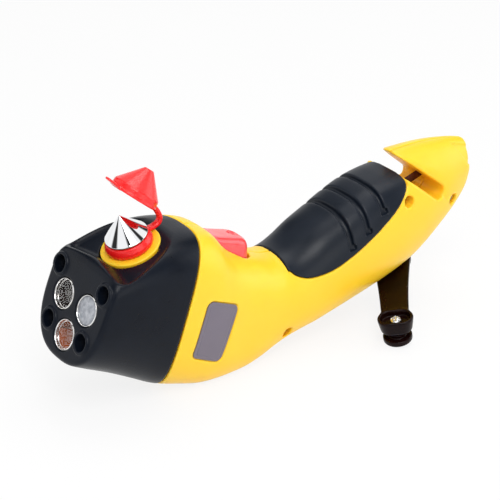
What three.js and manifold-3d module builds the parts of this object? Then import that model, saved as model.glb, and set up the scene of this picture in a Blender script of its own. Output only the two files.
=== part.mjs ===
// Hand crank flashlight with hammer tip, belt cutter, magnetic foot and fold-out crank.
// Millimetres. +Z is up, +X runs from head to tail, the mid plane is Y = 0 and the flat foot stands on Z = 0.

import * as THREE from "three";
import { mergeVertices } from "three/addons/utils/BufferGeometryUtils.js";
import Module from "manifold-3d";

const wasm = await Module();
wasm.setup();

// Driving dimensions of the body
const bodyLength = 200;
const bodyHeight = 62;
const headHalfWidth = 21;
const bodyWall = 2.4;
const fitGap = 0.3;
const cutOverrun = 2;
const farAway = 120;
const tiny = 1e-9;

// A place in the mid plane from its shares of the length and the height
function inBody([xShare, zShare]) {
  return [xShare * bodyLength, zShare * bodyHeight];
}

// Roundness of turned pieces, in sides
const fineSides = 28;
const mediumSides = 20;
const smallSides = 10;

// Sections of the body from the lamp face to the tail. Each row holds the foot and the top of the section in
// the mid plane (shares of length and height), its half width (share of the head's), the height of its
// widest point (share of the section) and the squareness of its upper and lower half.
const sectionShares = [
  [-0.3375, 0.345, -0.27, 0.892, 0.92, 0.67, 4.5, 2.6],
  [-0.302, 0.285, -0.222, 0.942, 0.965, 0.64, 4.2, 2.6],
  [-0.257, 0.215, -0.163, 0.98, 0.99, 0.6, 3.8, 2.7],
  [-0.212, 0.135, -0.109, 0.984, 1, 0.56, 3.4, 2.8],
  [-0.169, 0.06, -0.058, 0.957, 1, 0.53, 3.1, 3],
  [-0.12, 0.012, -0.034, 0.924, 0.99, 0.52, 2.9, 3.3],
  [-0.08, -0.022, -0.019, 0.872, 0.97, 0.52, 2.7, 3.5],
  [-0.04, -0.035, -0.003, 0.81, 0.945, 0.51, 2.6, 3.5],
  [-0.005, -0.035, 0.018, 0.753, 0.91, 0.5, 2.5, 3.5],
  [0.03, -0.03, 0.043, 0.702, 0.875, 0.5, 2.5, 3.4],
  [0.065, -0.008, 0.07, 0.663, 0.84, 0.5, 2.5, 3.2],
  [0.1, 0.025, 0.096, 0.627, 0.81, 0.5, 2.4, 2.9],
  [0.135, 0.052, 0.12, 0.612, 0.79, 0.5, 2.3, 2.7],
  [0.17, 0.07, 0.145, 0.627, 0.785, 0.5, 2.3, 2.6],
  [0.204, 0.088, 0.174, 0.668, 0.79, 0.5, 2.4, 2.6],
  [0.244, 0.12, 0.206, 0.728, 0.805, 0.5, 2.5, 2.6],
  [0.289, 0.157, 0.248, 0.79, 0.815, 0.5, 2.5, 2.6],
  [0.333, 0.193, 0.29, 0.853, 0.815, 0.5, 2.5, 2.6],
  [0.378, 0.23, 0.332, 0.913, 0.8, 0.5, 2.5, 2.6],
  [0.417, 0.262, 0.371, 0.975, 0.775, 0.5, 2.3, 2.5],
  [0.457, 0.3, 0.406, 1.05, 0.735, 0.5, 2.1, 2.4],
  [0.492, 0.365, 0.45, 1.064, 0.69, 0.5, 2, 2.3],
  [0.523, 0.444, 0.49, 1.064, 0.62, 0.5, 2, 2.2],
  [0.55, 0.521, 0.528, 1.05, 0.55, 0.5, 2, 2.2],
  [0.574, 0.602, 0.566, 1.028, 0.46, 0.5, 2, 2.1],
  [0.593, 0.673, 0.593, 1, 0.365, 0.5, 2, 2.1],
  [0.605, 0.742, 0.61, 0.965, 0.255, 0.5, 2, 2],
  [0.611, 0.812, 0.618, 0.918, 0.11, 0.5, 2, 2],
];
// Under the hook the handle keeps its own, lower top
const handleRows = 21;
const handleTops = new Map([[19, 0.945], [20, 0.962]]);
const handleShares = sectionShares.slice(0, handleRows).map((row, i) => {
  const [fx, fz, tx, tz, ...rest] = row;
  return [fx, fz, tx, handleTops.get(i) ?? tz, ...rest];
});
const outerRing = { points: 24, perSection: 0.8 };
const innerRing = { points: 14, perSection: 0.4 };
const faceEdgeRound = 2.2;
const faceEdgeShares = [[0, 1], [0.04, 0.55], [0.11, 0.22], [0.22, 0.05]];
const cavityEndShare = 0.86;

// Flats of the body: the magnetic foot and the belly land that the crank turns under
const landFrontShare = 0.1125;
const landFrontX = landFrontShare * bodyLength;
const landSlopeDegrees = 14.2;

// Lamp face, measured from the lamp plane's own origin: x up the face, y across, z out of the face
const faceOriginShare = 0.559;
const faceWall = 3;
const coverDepth = 38.2;
const coverTiltShare = -0.09;
const coverBow = 4.9;
const shellStart = 38;
const spigotLength = 9;
const spigotWall = 1.9;
const bulkheadThickness = 2;
const bulkheadHoleRadius = 8;

const lampRadius = 5.6;
const upperLampRise = 1.1;
const upperLampSpread = 7.4;
const lowerLampRise = -11.3;
const lensThickness = 1.3;
const lensSink = 0.3;
const reflectorFlange = 0.55;
const reflectorDepth = 11;
const reflectorWall = 0.7;
const ledRadius = 2.5;
const ledFlangeRadius = 2.9;
const ledFlangeThickness = 1;
const ledHeight = 5.2;
const domeShares = [0, 0.25, 0.5, 0.75, 1];
const boardThickness = 1.6;

const upperScrewRise = 9.7;
const upperScrewSpread = 14;
const lowerScrewRise = -9.7;
const lowerScrewSpread = 10.5;
const wellRadius = 3.1;
const wellRimWidth = 1.1;
const wellRimHeight = 0.7;
const wellDepth = 5.6;
const wellFloor = 2;
const postRadius = 2.8;
const screwHeadRadius = 2.5;
const screwHeadHeight = 1.7;
const screwShankRadius = 1.2;
const screwShankLength = 11;
const screwCrossWidth = 0.7;
const screwCrossDepth = 0.8;
const screwCrossReachShare = 0.7;
const screwEdgeShare = 0.5;
const screwCrownShare = 0.65;

// Hammer tip, its collar and the safety cap. Frame: x rearward along the collar, z out along the tip.
const hammerShares = [-0.1935, 1.00161];
const [hammerX, hammerZ] = inBody(hammerShares);
const hammerSlopeDegrees = 20;
const tipRadius = 7.8;
const tipHeight = 8.2;
const tipPointRadius = 0.35;
const tipEdge = 0.8;
const tipShankRadius = 4;
const tipShankLength = 15;
const collarRadius = 11.1;
const collarDrop = 5.2;
const collarThickness = 4.4;
const collarWall = 2.4;
const dishFloor = -6.3;
const dishTop = 1;
const dishFrontReach = 11.5;
const dishRearReach = 40;
const dishHalfWidth = 14;
const dishCorner = 6;
const dishFlare = 6.5;
const ringRadius = 9.9;
const ringTopRadius = 9.3;
const ringTopDrop = 1.1;

const capRadius = 8.75;
const capWall = 0.7;
const capSkirt = 2.8;
const capConeHeight = 8.9;
const capPointRadius = 0.5;
const capSkirtTopShare = 0.985;
const capRimRise = -0.8;
const capTabLength = 4.6;
const capTabWidth = 5;
const capTabThickness = 1.1;
const capOpenDegrees = 58.7;
const capHingeReach = 14.6;
const capHingeRise = -0.85;
const strapWidth = 3.6;
const strapThickness = 1.3;
const strapSteps = 12;

// Thumb switch: its side outline from the front hinge over the dimple to the rear face
const switchHalfWidth = 6.5;
const switchEdgeRound = 1.1;
const switchEdgeSteps = 2;
const switchRearRound = 6;
const switchWellWall = 1.6;
const switchOutlineShares = [
  [-0.0285, 0.887], [-0.001, 0.852], [0.028, 0.818], [0.044, 0.79], [0.056, 0.758], [0.0625, 0.72],
  [0.0645, 0.68], [0.063, 0.635], [0.048, 0.6], [0.008, 0.685], [-0.029, 0.81],
];
const switchHingeShares = [-0.019, 0.83871];
const [switchHingeX, switchHingeZ] = inBody(switchHingeShares);
const switchPinRadius = 0.9;
const switchPinLength = 1.1;
const dimpleRadius = 2.6;
const dimpleDepth = 0.8;
const dimpleShares = [0.033, 0.81613];
const [dimpleX, dimpleZ] = inBody(dimpleShares);
const dimpleSlopeDegrees = -22;
const shelfThickness = 2;
const shelfShare = 0.5;
const shelfZ = shelfShare * bodyHeight;
const shelfFrontShare = -0.045;
const shelfFrontX = shelfFrontShare * bodyLength;
const shelfRearShare = 0.06;
const shelfRearX = shelfRearShare * bodyLength;
const moduleLength = 8;
const moduleWidth = 7;
const moduleHeight = 6;
const moduleX = 0;
const plungerRadius = 1.2;
const plungerHeight = 2.3;
const pressDegrees = 5;

// Grip: its side outline, from the front end along the lower edge to the rear edge, and its three grooves
const gripThickness = 2.3;
const gripOutlineShares = [
  [0.129, 0.6], [0.134, 0.545], [0.147, 0.512], [0.172, 0.492], [0.214, 0.506], [0.256, 0.553],
  [0.31, 0.643], [0.368, 0.764], [0.4015, 0.864], [0.4115, 0.925], [0.4115, 0.99], [0.35, 1.1], [0.129, 1.1],
];
const grooveWidth = 2.3;
const grooveDepth = 1.3;
const grooveEndHeightShare = 0.27;
const grooveTopShares = [[0.259, 0.79], [0.305, 0.865], [0.3495, 0.93]];
const grooveSlopeDegrees = 26;

// Belt cutter: the slot under the hook and the blade across it
const slotFloorShares = [0.412, 0.92903];
const [slotFloorX, slotFloorZ] = inBody(slotFloorShares);
const slotSlopeDegrees = -37.3;
const slotWidth = 6;
const slotLength = 24;
const hookTipShares = [0.407, 1.05806];
const [hookTipX, hookTipZ] = inBody(hookTipShares);
const hookTopClearShares = [0.3575, 0.95];
const [hookTopClearX, hookTopClearZ] = inBody(hookTopClearShares);
const gripRearShare = 0.97258;
const gripRearRise = gripRearShare * bodyHeight;
const hookClearShare = 0.99194;
const hookClearZ = hookClearShare * bodyHeight;
const underHookShares = [0.29, 0.85484];
const [underHookX, underHookZ] = inBody(underHookShares);
const hookTaperShares = [[0.39, 0.1], [0.42, 0.33], [0.455, 0.5], [0.5, 0.6], [0.54, 0.66]];
const bladeLength = 15;
const bladeWidth = 8;
const bladeThickness = 0.7;
const bladeAlong = 17;
const bladeTurnDegrees = 55;

// Screws that join the two shells
const bodyScrewShares = [[0.12, 0.163], [0.408, 0.8], [0.5435, 0.687]];
const bodyBossRadius = 3.5;
const bodyWellRadius = 2.3;
const bodyWellFloorY = 7.5;
const bodyScrewHeadRadius = 1.95;
const bodyScrewLength = 9;

// Label plate on the near side, bare
const labelShares = [[-0.08, 0.617], [-0.017, 0.529], [-0.058, 0.176], [-0.115, 0.26]];
const labelCorner = 3;
const labelThickness = 0.5;
const labelSink = 0.15;
const labelCornerSteps = 6;

// Crank. Frame: x rearward along the belly, z into the body, origin on the belly at the shaft.
const shaftShares = [0.44, 0.30484];
const [shaftX, shaftZ] = inBody(shaftShares);
const shaftRadius = 2.5;
const shaftTopZ = 18;
const runningGap = 0.3;
const bushRadius = 4;
const bushFlangeRadius = 5.6;
const bushFlangeThickness = 1;
const armLength = 39;
const armTurnDegrees = 230.8;
const armClearance = 1.1;
const armThickness = 2.4;
const hubThickness = 3.6;
const hubRadius = 7.7;
const armEndHalfWidth = 5.3;
const cupHalfLength = 7;
const cupHalfWidth = 4.7;
const cupWall = 1.3;
const cupFloor = 1.6;
const cupDepth = 6.1;
const cupTaper = 0.8;
const hubScrewHeadRadius = 3.4;
const hubScrewHeadHeight = 1.5;
const knobScrewHeadRadius = 2.6;
const knobScrewHeadHeight = 1.6;
const knobTopRadius = 4.3;
const knobWaistRadius = 3.4;
const knobFlangeRadius = 5.7;
const knobFlangeThickness = 2.2;

// Gear train: module, teeth and face widths
const gearModule = 0.6;
const wheelTeeth = 32;
const idlerTeeth = 28;
const pinionTeeth = 8;
const toothRootShare = 0.288;
const toothTipShare = 0.2;
const addendumShare = 0.85;
const dedendumShare = 1.15;
const gearWidth = 2.6;
const gearLayerStep = 3.3;
const firstLayerZ = 6.9;
const pinionOverlap = 0.35;
const arborRadius = 0.8;
const arborFootZ = 2.7;
const plateThickness = 1.6;
const plateFrontX = -47;
const plateRearX = 7.5;

// Dynamo, battery, boards and magnet
const canRadius = 9.6;
const canHeight = 8.2;
const canWall = 0.8;
const rotorRadius = 5.6;
const coilInnerRadius = 6.2;
const rotorShaftRadius = 0.9;
const rotorDrumStart = 1.2;
const rotorDrumHeight = 4.6;
const batteryRadius = 7;
const batteryLength = 20;
const batteryShare = -0.082;
const batteryX = batteryShare * bodyLength;
const batteryLift = 1;
const magnetFaceRadius = 8;
const magnetRadius = 9;
const magnetThickness = 4;
const chargeBoardFrontShare = -0.125;
const chargeBoardFrontX = chargeBoardFrontShare * bodyLength;
const chargeBoardRearShare = 0.03;
const chargeBoardRearX = chargeBoardRearShare * bodyLength;
const chargeBoardHalfWidth = 12;
const chargeBoardThickness = 1.4;
const leadRadius = 0.9;
const leadSides = 6;
const leadSteps = 10;
const lampLeadShares = [[-0.105, 0, 0.332], [-0.135, 0, 0.4], [-0.175, 0, 0.46], [-0.21, 0, 0.51]];
const dynamoLeadShares = [
  [0.02, -0.19, 0.332], [0.06, -0.24, 0.38], [0.12, -0.24, 0.444], [0.192, -0.143, 0.49],
];

const degrees = Math.PI / 180;

// A frame in the mid plane whose own x leans up by the slope given
function tiltedFrame(x, z, slopeDegrees) {
  const slope = slopeDegrees * degrees;
  const along = new THREE.Vector3(Math.cos(slope), 0, Math.sin(slope));
  const out = new THREE.Vector3(-Math.sin(slope), 0, Math.cos(slope));
  const frame = new THREE.Matrix4().makeBasis(along, new THREE.Vector3(0, 1, 0), out);
  return frame.setPosition(x, 0, z);
}

// Solids: a closed geometry, moved into place, as a body that can be joined and cut
function solidOf(geometry, frame = null) {
  const bare = new THREE.BufferGeometry();
  bare.setAttribute("position", geometry.getAttribute("position").clone());
  if (geometry.index) bare.setIndex(geometry.index.clone());
  if (frame) bare.applyMatrix4(frame);
  const merged = mergeVertices(bare);
  const vertProperties = new Float32Array(merged.getAttribute("position").array);
  const triVerts = new Uint32Array(merged.index.array);
  const made = new wasm.Manifold(new wasm.Mesh({ numProp: 3, vertProperties, triVerts }));
  if (made.volume() >= 0) return made;
  for (let i = 0; i < triVerts.length; i += 3) {
    [triVerts[i + 1], triVerts[i + 2]] = [triVerts[i + 2], triVerts[i + 1]];
  }
  return new wasm.Manifold(new wasm.Mesh({ numProp: 3, vertProperties, triVerts }));
}

function geometryOf(solid) {
  const mesh = solid.getMesh();
  const corners = new Float32Array(mesh.triVerts.length * 3);
  for (let i = 0; i < mesh.triVerts.length; i += 1) {
    const from = mesh.triVerts[i] * mesh.numProp;
    corners.set(mesh.vertProperties.subarray(from, from + 3), i * 3);
  }
  const geometry = new THREE.BufferGeometry();
  geometry.setAttribute("position", new THREE.BufferAttribute(corners, 3));
  geometry.computeVertexNormals();
  return geometry;
}

// A turned solid round z from a profile of [radius, z] points that closes on itself or on the axis
function turned(profile, sides = mediumSides, frame = null) {
  const points = profile.map(([r, z]) => new THREE.Vector2(r, z));
  if (profile[0][0] > 0 || profile[profile.length - 1][0] > 0) points.push(points[0].clone());
  const geometry = new THREE.LatheGeometry(points, sides);
  geometry.rotateX(Math.PI / 2);
  return solidOf(dropFlatFaces(geometry), frame);
}

// Faces that shrink to nothing at the axis are left out
function dropFlatFaces(geometry) {
  const merged = mergeVertices(new THREE.BufferGeometry()
    .setAttribute("position", geometry.getAttribute("position").clone())
    .setIndex(geometry.index.clone()));
  const index = Array.from(merged.index.array);
  const kept = [];
  for (let i = 0; i < index.length; i += 3) {
    const [a, b, c] = index.slice(i, i + 3);
    if (a !== b && b !== c && a !== c) kept.push(a, b, c);
  }
  return merged.setIndex(kept);
}

function disc(radius, low, high, sides = mediumSides, frame = null) {
  return turned([[0, low], [radius, low], [radius, high], [0, high]], sides, frame);
}

function tube(inner, outer, low, high, sides = mediumSides, frame = null) {
  return turned([[inner, low], [outer, low], [outer, high], [inner, high]], sides, frame);
}

function block(x0, x1, y0, y1, z0, z1, frame = null) {
  const geometry = new THREE.BoxGeometry(x1 - x0, y1 - y0, z1 - z0);
  geometry.translate((x0 + x1) / 2, (y0 + y1) / 2, (z0 + z1) / 2);
  return solidOf(geometry, frame);
}

// A flat outline of [x, y] points raised from low to high along z
function raised(outline, low, high, frame = null) {
  const shape = Array.isArray(outline)
    ? new THREE.Shape(outline.map(([x, y]) => new THREE.Vector2(x, y)))
    : outline;
  const geometry = new THREE.ExtrudeGeometry(shape, { depth: high - low, bevelEnabled: false });
  geometry.translate(0, 0, low);
  return solidOf(geometry, frame);
}

// A side outline of [x, z] points, spread across y from low to high
const sideways = new THREE.Matrix4().makeRotationX(Math.PI / 2);
function acrossBody(outline, low, high, frame = null) {
  const place = frame ? frame.clone().multiply(sideways) : sideways.clone();
  return raised(outline, -high, -low, place);
}

const inLength = (share) => share * bodyLength;
const inHeight = (share) => share * bodyHeight;
const sidePoint = ([x, z]) => [inLength(x), inHeight(z)];

// Sections between the rows are eased by a Catmull-Rom curve
function sectionAt(station, rows) {
  const last = rows.length - 1;
  const i = Math.min(Math.floor(station), last - 1);
  const t = station - i;
  const around = [i - 1, i, i + 1, i + 2].map((k) => rows[Math.max(0, Math.min(last, k))]);
  return around[0].map((_, column) => {
    const [p, q, r, s] = around.map((row) => row[column]);
    return q + 0.5 * t * (r - p + t * (2 * p - 5 * q + 4 * r - s + t * (3 * (q - r) + s - p)));
  });
}

function sectionRing(station, inset, ringPoints, rows) {
  const [fx, fz, tx, tz, width, widest, upper, lower] = sectionAt(station, rows);
  const foot = new THREE.Vector2(inLength(fx), inHeight(fz));
  const top = new THREE.Vector2(inLength(tx), inHeight(tz));
  const along = top.clone().sub(foot).normalize();
  foot.addScaledVector(along, inset);
  top.addScaledVector(along, -inset);
  const middle = foot.clone().lerp(top, widest);
  const halfWidth = width * headHalfWidth - inset;
  const ring = [];
  for (let k = 0; k < ringPoints; k += 1) {
    const angle = (k / ringPoints) * 2 * Math.PI;
    const c = Math.cos(angle);
    const s = Math.sin(angle);
    const power = 2 / (s >= 0 ? upper : lower);
    const reach = s >= 0 ? top.distanceTo(middle) : -foot.distanceTo(middle);
    const rise = reach * (Math.abs(s) < tiny ? 0 : Math.abs(s) ** power);
    const y = Math.abs(c) < tiny ? 0 : Math.sign(c) * halfWidth * Math.abs(c) ** power;
    ring.push([middle.x + along.x * rise, y, middle.y + along.y * rise]);
  }
  return ring;
}

// A form through the sections, full size or set in by a wall, from the lamp face to the end given
const firstRing = 0.5;
const lastRingGap = 0.4;
function formThrough(rows, inset, { points: n, perSection }, endShare) {
  const end = endShare * (rows.length - 1);
  const rings = faceEdgeShares.map(([station, share]) => (
    sectionRing(station, inset + share * faceEdgeRound, n, rows)
  ));
  for (let station = firstRing; station < end - lastRingGap; station += 1 / perSection) {
    rings.push(sectionRing(station, inset, n, rows));
  }
  rings.push(sectionRing(end, inset, n, rows));
  const positions = rings.flat(2);
  const index = [];
  for (let r = 0; r < rings.length - 1; r += 1) {
    for (let k = 0; k < n; k += 1) {
      const a = r * n + k;
      const b = r * n + ((k + 1) % n);
      index.push(a, b, a + n, b, b + n, a + n);
    }
  }
  for (const [ring, turn] of [[0, 1], [rings.length - 1, -1]]) {
    const centre = positions.length / 3;
    for (const axis of [0, 1, 2]) {
      positions.push(rings[ring].reduce((sum, point) => sum + point[axis], 0) / n);
    }
    for (let k = 0; k < n; k += 1) {
      const a = ring * n + k;
      const b = ring * n + ((k + 1) % n);
      index.push(...(turn > 0 ? [centre, b, a] : [centre, a, b]));
    }
  }
  const geometry = new THREE.BufferGeometry();
  geometry.setAttribute("position", new THREE.Float32BufferAttribute(positions, 3));
  geometry.setIndex(index);
  return solidOf(geometry);
}

const bodyForm = (inset, ring = outerRing, endShare = 1) => formThrough(sectionShares, inset, ring, endShare);
const handleForm = (inset, ring = outerRing) => formThrough(handleShares, inset, ring, 1);

// Frames of the lamp face, the hammer tip, the crank and the slot
const faceFoot = new THREE.Vector2(...sidePoint(sectionShares[0].slice(0, 2)));
const faceTop = new THREE.Vector2(...sidePoint(sectionShares[0].slice(2, 4)));
const faceOrigin = faceFoot.clone().lerp(faceTop, faceOriginShare);
const faceSlopeDegrees = faceTop.clone().sub(faceFoot).angle() / degrees;
const faceFrame = tiltedFrame(faceOrigin.x, faceOrigin.y, faceSlopeDegrees);
const hammerFrame = tiltedFrame(hammerX, hammerZ, hammerSlopeDegrees);
const crankFrame = tiltedFrame(shaftX, shaftZ, landSlopeDegrees);
const slotFrame = tiltedFrame(slotFloorX, slotFloorZ, slotSlopeDegrees);

// Zones ahead of and behind the edge of the head cover, which bows forward at the sides
const bowPoints = 12;
const bowReachShare = 1.1;
function headZone(setBack) {
  const outline = [[-farAway, headHalfWidth * bowReachShare]];
  for (let k = 0; k <= bowPoints; k += 1) {
    const share = bowReachShare * (1 - (2 * k) / bowPoints);
    outline.push([coverDepth + setBack - coverBow * share ** 2, headHalfWidth * share]);
  }
  outline.push([-farAway, -headHalfWidth * bowReachShare]);
  const lean = new THREE.Matrix4().makeRotationY(Math.PI / 2 + Math.atan(coverTiltShare));
  return raised(outline, -farAway, farAway, faceFrame.clone().multiply(lean));
}

const depthSlab = (from, to) => block(-farAway, farAway, -farAway, farAway, -to, -from, faceFrame);

// Whole outer form, with its foot and belly land cut flat
const footFlat = block(-farAway, farAway, -farAway, farAway, -farAway, 0);
const landFront = (landFrontX - shaftX) / Math.cos(landSlopeDegrees * degrees);
const landFlat = block(landFront, farAway, -farAway, farAway, -farAway, 0, crankFrame);
const gripRegion = (grow) => acrossBody(gripOutlineShares.map(sidePoint), -farAway, farAway)
  .add(acrossBody(gripOutlineShares.map(sidePoint).map(([x, z]) => [x - grow, z]), -farAway, farAway))
  .add(acrossBody(gripOutlineShares.map(sidePoint).map(([x, z]) => [x + grow, z - grow]), -farAway, farAway));

const slotEnd = slotLength - slotWidth / 2;
const slotEndPoints = 10;
function slotOutline(grow) {
  const toSlot = ([x, z]) => {
    const local = new THREE.Vector3(x, 0, z).applyMatrix4(slotFrame.clone().invert());
    return [local.x, local.z];
  };
  const outline = [[0, -grow]];
  for (let k = 0; k <= slotEndPoints; k += 1) {
    const angle = -Math.PI / 2 + (Math.PI * k) / slotEndPoints;
    const radius = slotWidth / 2 + grow;
    outline.push([slotEnd + radius * Math.cos(angle), slotWidth / 2 + radius * Math.sin(angle)]);
  }
  outline.push(toSlot([hookTipX - grow, hookTipZ + grow]), toSlot([hookTipX - grow, farAway]));
  outline.push(toSlot([hookTopClearX - cutOverrun, farAway]));
  outline.push(toSlot([hookTopClearX - cutOverrun, hookTopClearZ - grow]));
  outline.push(toSlot([slotFloorX - fitGap, gripRearRise - grow]), toSlot([slotFloorX, slotFloorZ - grow]));
  return outline;
}
const slotRegion = (grow) => acrossBody(slotOutline(grow), -farAway, farAway, slotFrame);

// A solid between two outlines with the same number of [x, y] points
function tapered(foot, top, low, high, frame = null) {
  const n = top.length;
  const positions = [...foot.map(([x, y]) => [x, y, low]), ...top.map(([x, y]) => [x, y, high])].flat();
  for (const [outline, z] of [[foot, low], [top, high]]) {
    const sum = outline.reduce(([a, b], [x, y]) => [a + x, b + y], [0, 0]);
    positions.push(sum[0] / n, sum[1] / n, z);
  }
  const index = [];
  for (let k = 0; k < n; k += 1) {
    const next = (k + 1) % n;
    index.push(k, next, n + k, next, n + next, n + k, 2 * n, next, k, 2 * n + 1, n + k, n + next);
  }
  const geometry = new THREE.BufferGeometry();
  geometry.setAttribute("position", new THREE.Float32BufferAttribute(positions, 3));
  geometry.setIndex(index);
  return solidOf(geometry, frame);
}

// A rectangle with round corners as [x, y] points
const cornerSteps = 3;
function roundedBox(x0, x1, y0, y1, radius) {
  const points = [];
  for (const [cx, cy, start] of [
    [x1 - radius, y1 - radius, 0], [x0 + radius, y1 - radius, 1],
    [x0 + radius, y0 + radius, 2], [x1 - radius, y0 + radius, 3],
  ]) {
    for (let k = 0; k <= cornerSteps; k += 1) {
      const angle = (start + k / cornerSteps) * (Math.PI / 2);
      points.push([cx + radius * Math.cos(angle), cy + radius * Math.sin(angle)]);
    }
  }
  return points;
}

// The shallow dish round the hammer tip, full size or grown by a wall
function dish(grow) {
  const outline = (flare) => roundedBox(
    -dishFrontReach - flare, dishRearReach + flare,
    -dishHalfWidth - flare, dishHalfWidth + flare, dishCorner + flare,
  );
  return tapered(outline(grow), outline(grow + dishFlare), dishFloor - grow, dishTop + grow, hammerFrame)
    .add(raised(outline(grow + dishFlare), dishTop, farAway, hammerFrame));
}

// The hook narrows to its tip: what lies beside it above the slot is cut away
function hookSides() {
  const above = block(-farAway, slotLength + farAway, -farAway, farAway, slotWidth / 2, farAway, slotFrame);
  const inner = hookTaperShares.map(([x, y]) => [inLength(x), y * headHalfWidth]);
  const [firstX] = inner[0];
  const [lastX] = inner[inner.length - 1];
  const side = [...inner, [lastX, farAway], [firstX - farAway, farAway], [firstX - farAway, inner[0][1]]];
  const far = raised(side, 0, farAway);
  const near = raised(side.map(([x, y]) => [x, -y]), 0, farAway);
  return far.add(near).intersect(above);
}

const underHook = block(underHookX, slotFloorX, -farAway, farAway, underHookZ, hookClearZ);
const outerForm = bodyForm(0)
  .subtract(underHook.subtract(handleForm(0)))
  .subtract(footFlat)
  .subtract(landFlat)
  .subtract(slotRegion(0))
  .subtract(hookSides())
  .subtract(dish(0));

// Head cover with lamp holes, screw wells and the opening for the hammer's collar
const lampPlaces = [
  ["far", upperLampRise, upperLampSpread],
  ["near", upperLampRise, -upperLampSpread],
  ["lower", lowerLampRise, 0],
];
const screwPlaces = [
  ["upper_far", upperScrewRise, upperScrewSpread],
  ["upper_near", upperScrewRise, -upperScrewSpread],
  ["lower_far", lowerScrewRise, lowerScrewSpread],
  ["lower_near", lowerScrewRise, -lowerScrewSpread],
];
const at = (frame, x, y, z = 0) => frame.clone().multiply(new THREE.Matrix4().makeTranslation(x, y, z));

function headCover() {
  const wellOuter = wellRadius + wellRimWidth;
  const wellBack = wellDepth + wellFloor;
  const cavity = bodyForm(bodyWall, innerRing)
    .intersect(depthSlab(faceWall, farAway))
    .subtract(dish(bodyWall));
  let cover = outerForm.intersect(headZone(0)).subtract(cavity);
  for (const [, rise, spread] of screwPlaces) {
    const place = at(faceFrame, rise, spread);
    const cup = disc(wellOuter, -wellBack, wellRimHeight, mediumSides, place);
    const rim = disc(wellOuter, -faceWall, wellRimHeight, mediumSides, place);
    cover = cover.add(cup.intersect(bodyForm(0).add(rim)));
  }
  for (const [, rise, spread] of screwPlaces) {
    const place = at(faceFrame, rise, spread);
    cover = cover
      .subtract(disc(wellRadius, -wellDepth, wellRimHeight + cutOverrun, mediumSides, place))
      .subtract(disc(screwShankRadius + fitGap, -wellBack - cutOverrun, 0, smallSides, place));
  }
  for (const [, rise, spread] of lampPlaces) {
    const place = at(faceFrame, rise, spread);
    cover = cover.subtract(disc(lampRadius + fitGap, -faceWall - cutOverrun, cutOverrun, fineSides, place));
  }
  return cover.subtract(disc(collarRadius + fitGap, -tipShankLength * 2, farAway, fineSides, hammerFrame));
}

const pitchRadius = (teeth) => (gearModule * teeth) / 2;
const wheelRoom = pitchRadius(wheelTeeth) + gearModule * addendumShare + fitGap;

// Inside of the two shells: the cavity, less the walls round the slot, the grip's bed and the switch well
function shellCavity() {
  const gripBed = gripThickness + fitGap + bodyWall;
  const behind = depthSlab(shellStart + bulkheadThickness * 2, farAway * 2);
  const joint = depthSlab(shellStart - spigotLength, shellStart + bulkheadThickness * 2 + cutOverrun);
  const narrow = bodyForm(bodyWall + fitGap + spigotWall, innerRing).intersect(joint);
  const cavity = bodyForm(bodyWall, innerRing, cavityEndShare).intersect(behind).add(narrow);
  return cavity
    .subtract(block(-farAway, farAway, -farAway, farAway, -farAway, bodyWall))
    .subtract(block(-farAway, farAway, -farAway, farAway, -farAway, bodyWall, crankFrame))
    .subtract(gripRegion(bodyWall).subtract(handleForm(gripBed, innerRing)))
    .subtract(slotRegion(bodyWall))
    .subtract(block(-farAway, slotLength, -farAway, farAway, 0, farAway, slotFrame)
      .subtract(block(-farAway * 2, slotFloorX, -farAway, farAway, -farAway, farAway)));
}

const switchOutline = switchOutlineShares.map(sidePoint);
const switchCentre = switchOutline.reduce(([a, b], [x, z]) => [a + x, b + z], [0, 0])
  .map((sum) => sum / switchOutline.length);
const grownOutline = (outline, centre, grow) => outline.map(([x, z]) => {
  const away = new THREE.Vector2(x - centre[0], z - centre[1]);
  away.setLength(away.length() + grow * Math.SQRT2);
  return [centre[0] + away.x, centre[1] + away.y];
});
const switchHinge = new THREE.Matrix4().makeTranslation(switchHingeX, 0, switchHingeZ);
const pressed = switchHinge.clone()
  .multiply(new THREE.Matrix4().makeRotationY(pressDegrees * degrees))
  .multiply(switchHinge.clone().invert());
const switchRearX = Math.max(...switchOutline.map(([x]) => x));
function switchPlan(grow) {
  const wide = switchHalfWidth + grow;
  const plan = roundedBox(-farAway / 2, switchRearX + grow, -wide, wide, switchRearRound + grow);
  return raised(plan, 0, farAway);
}
function switchRegion(grow) {
  const wide = switchHalfWidth + grow;
  const outline = grownOutline(switchOutline, switchCentre, grow);
  return acrossBody(outline, -wide, wide)
    .add(acrossBody(outline, -wide, wide, pressed))
    .intersect(switchPlan(grow));
}

function moduleForm(grow) {
  const long = moduleLength / 2 + grow;
  const wide = moduleWidth / 2 + grow;
  const low = shelfZ + shelfThickness + fitGap - grow;
  const place = new THREE.Matrix4().makeTranslation(moduleX, 0, low);
  const high = moduleHeight + 2 * grow;
  return block(-long, long, -wide, wide, 0, high, place)
    .add(disc(plungerRadius + grow, 0, high + plungerHeight, smallSides, place));
}

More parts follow.
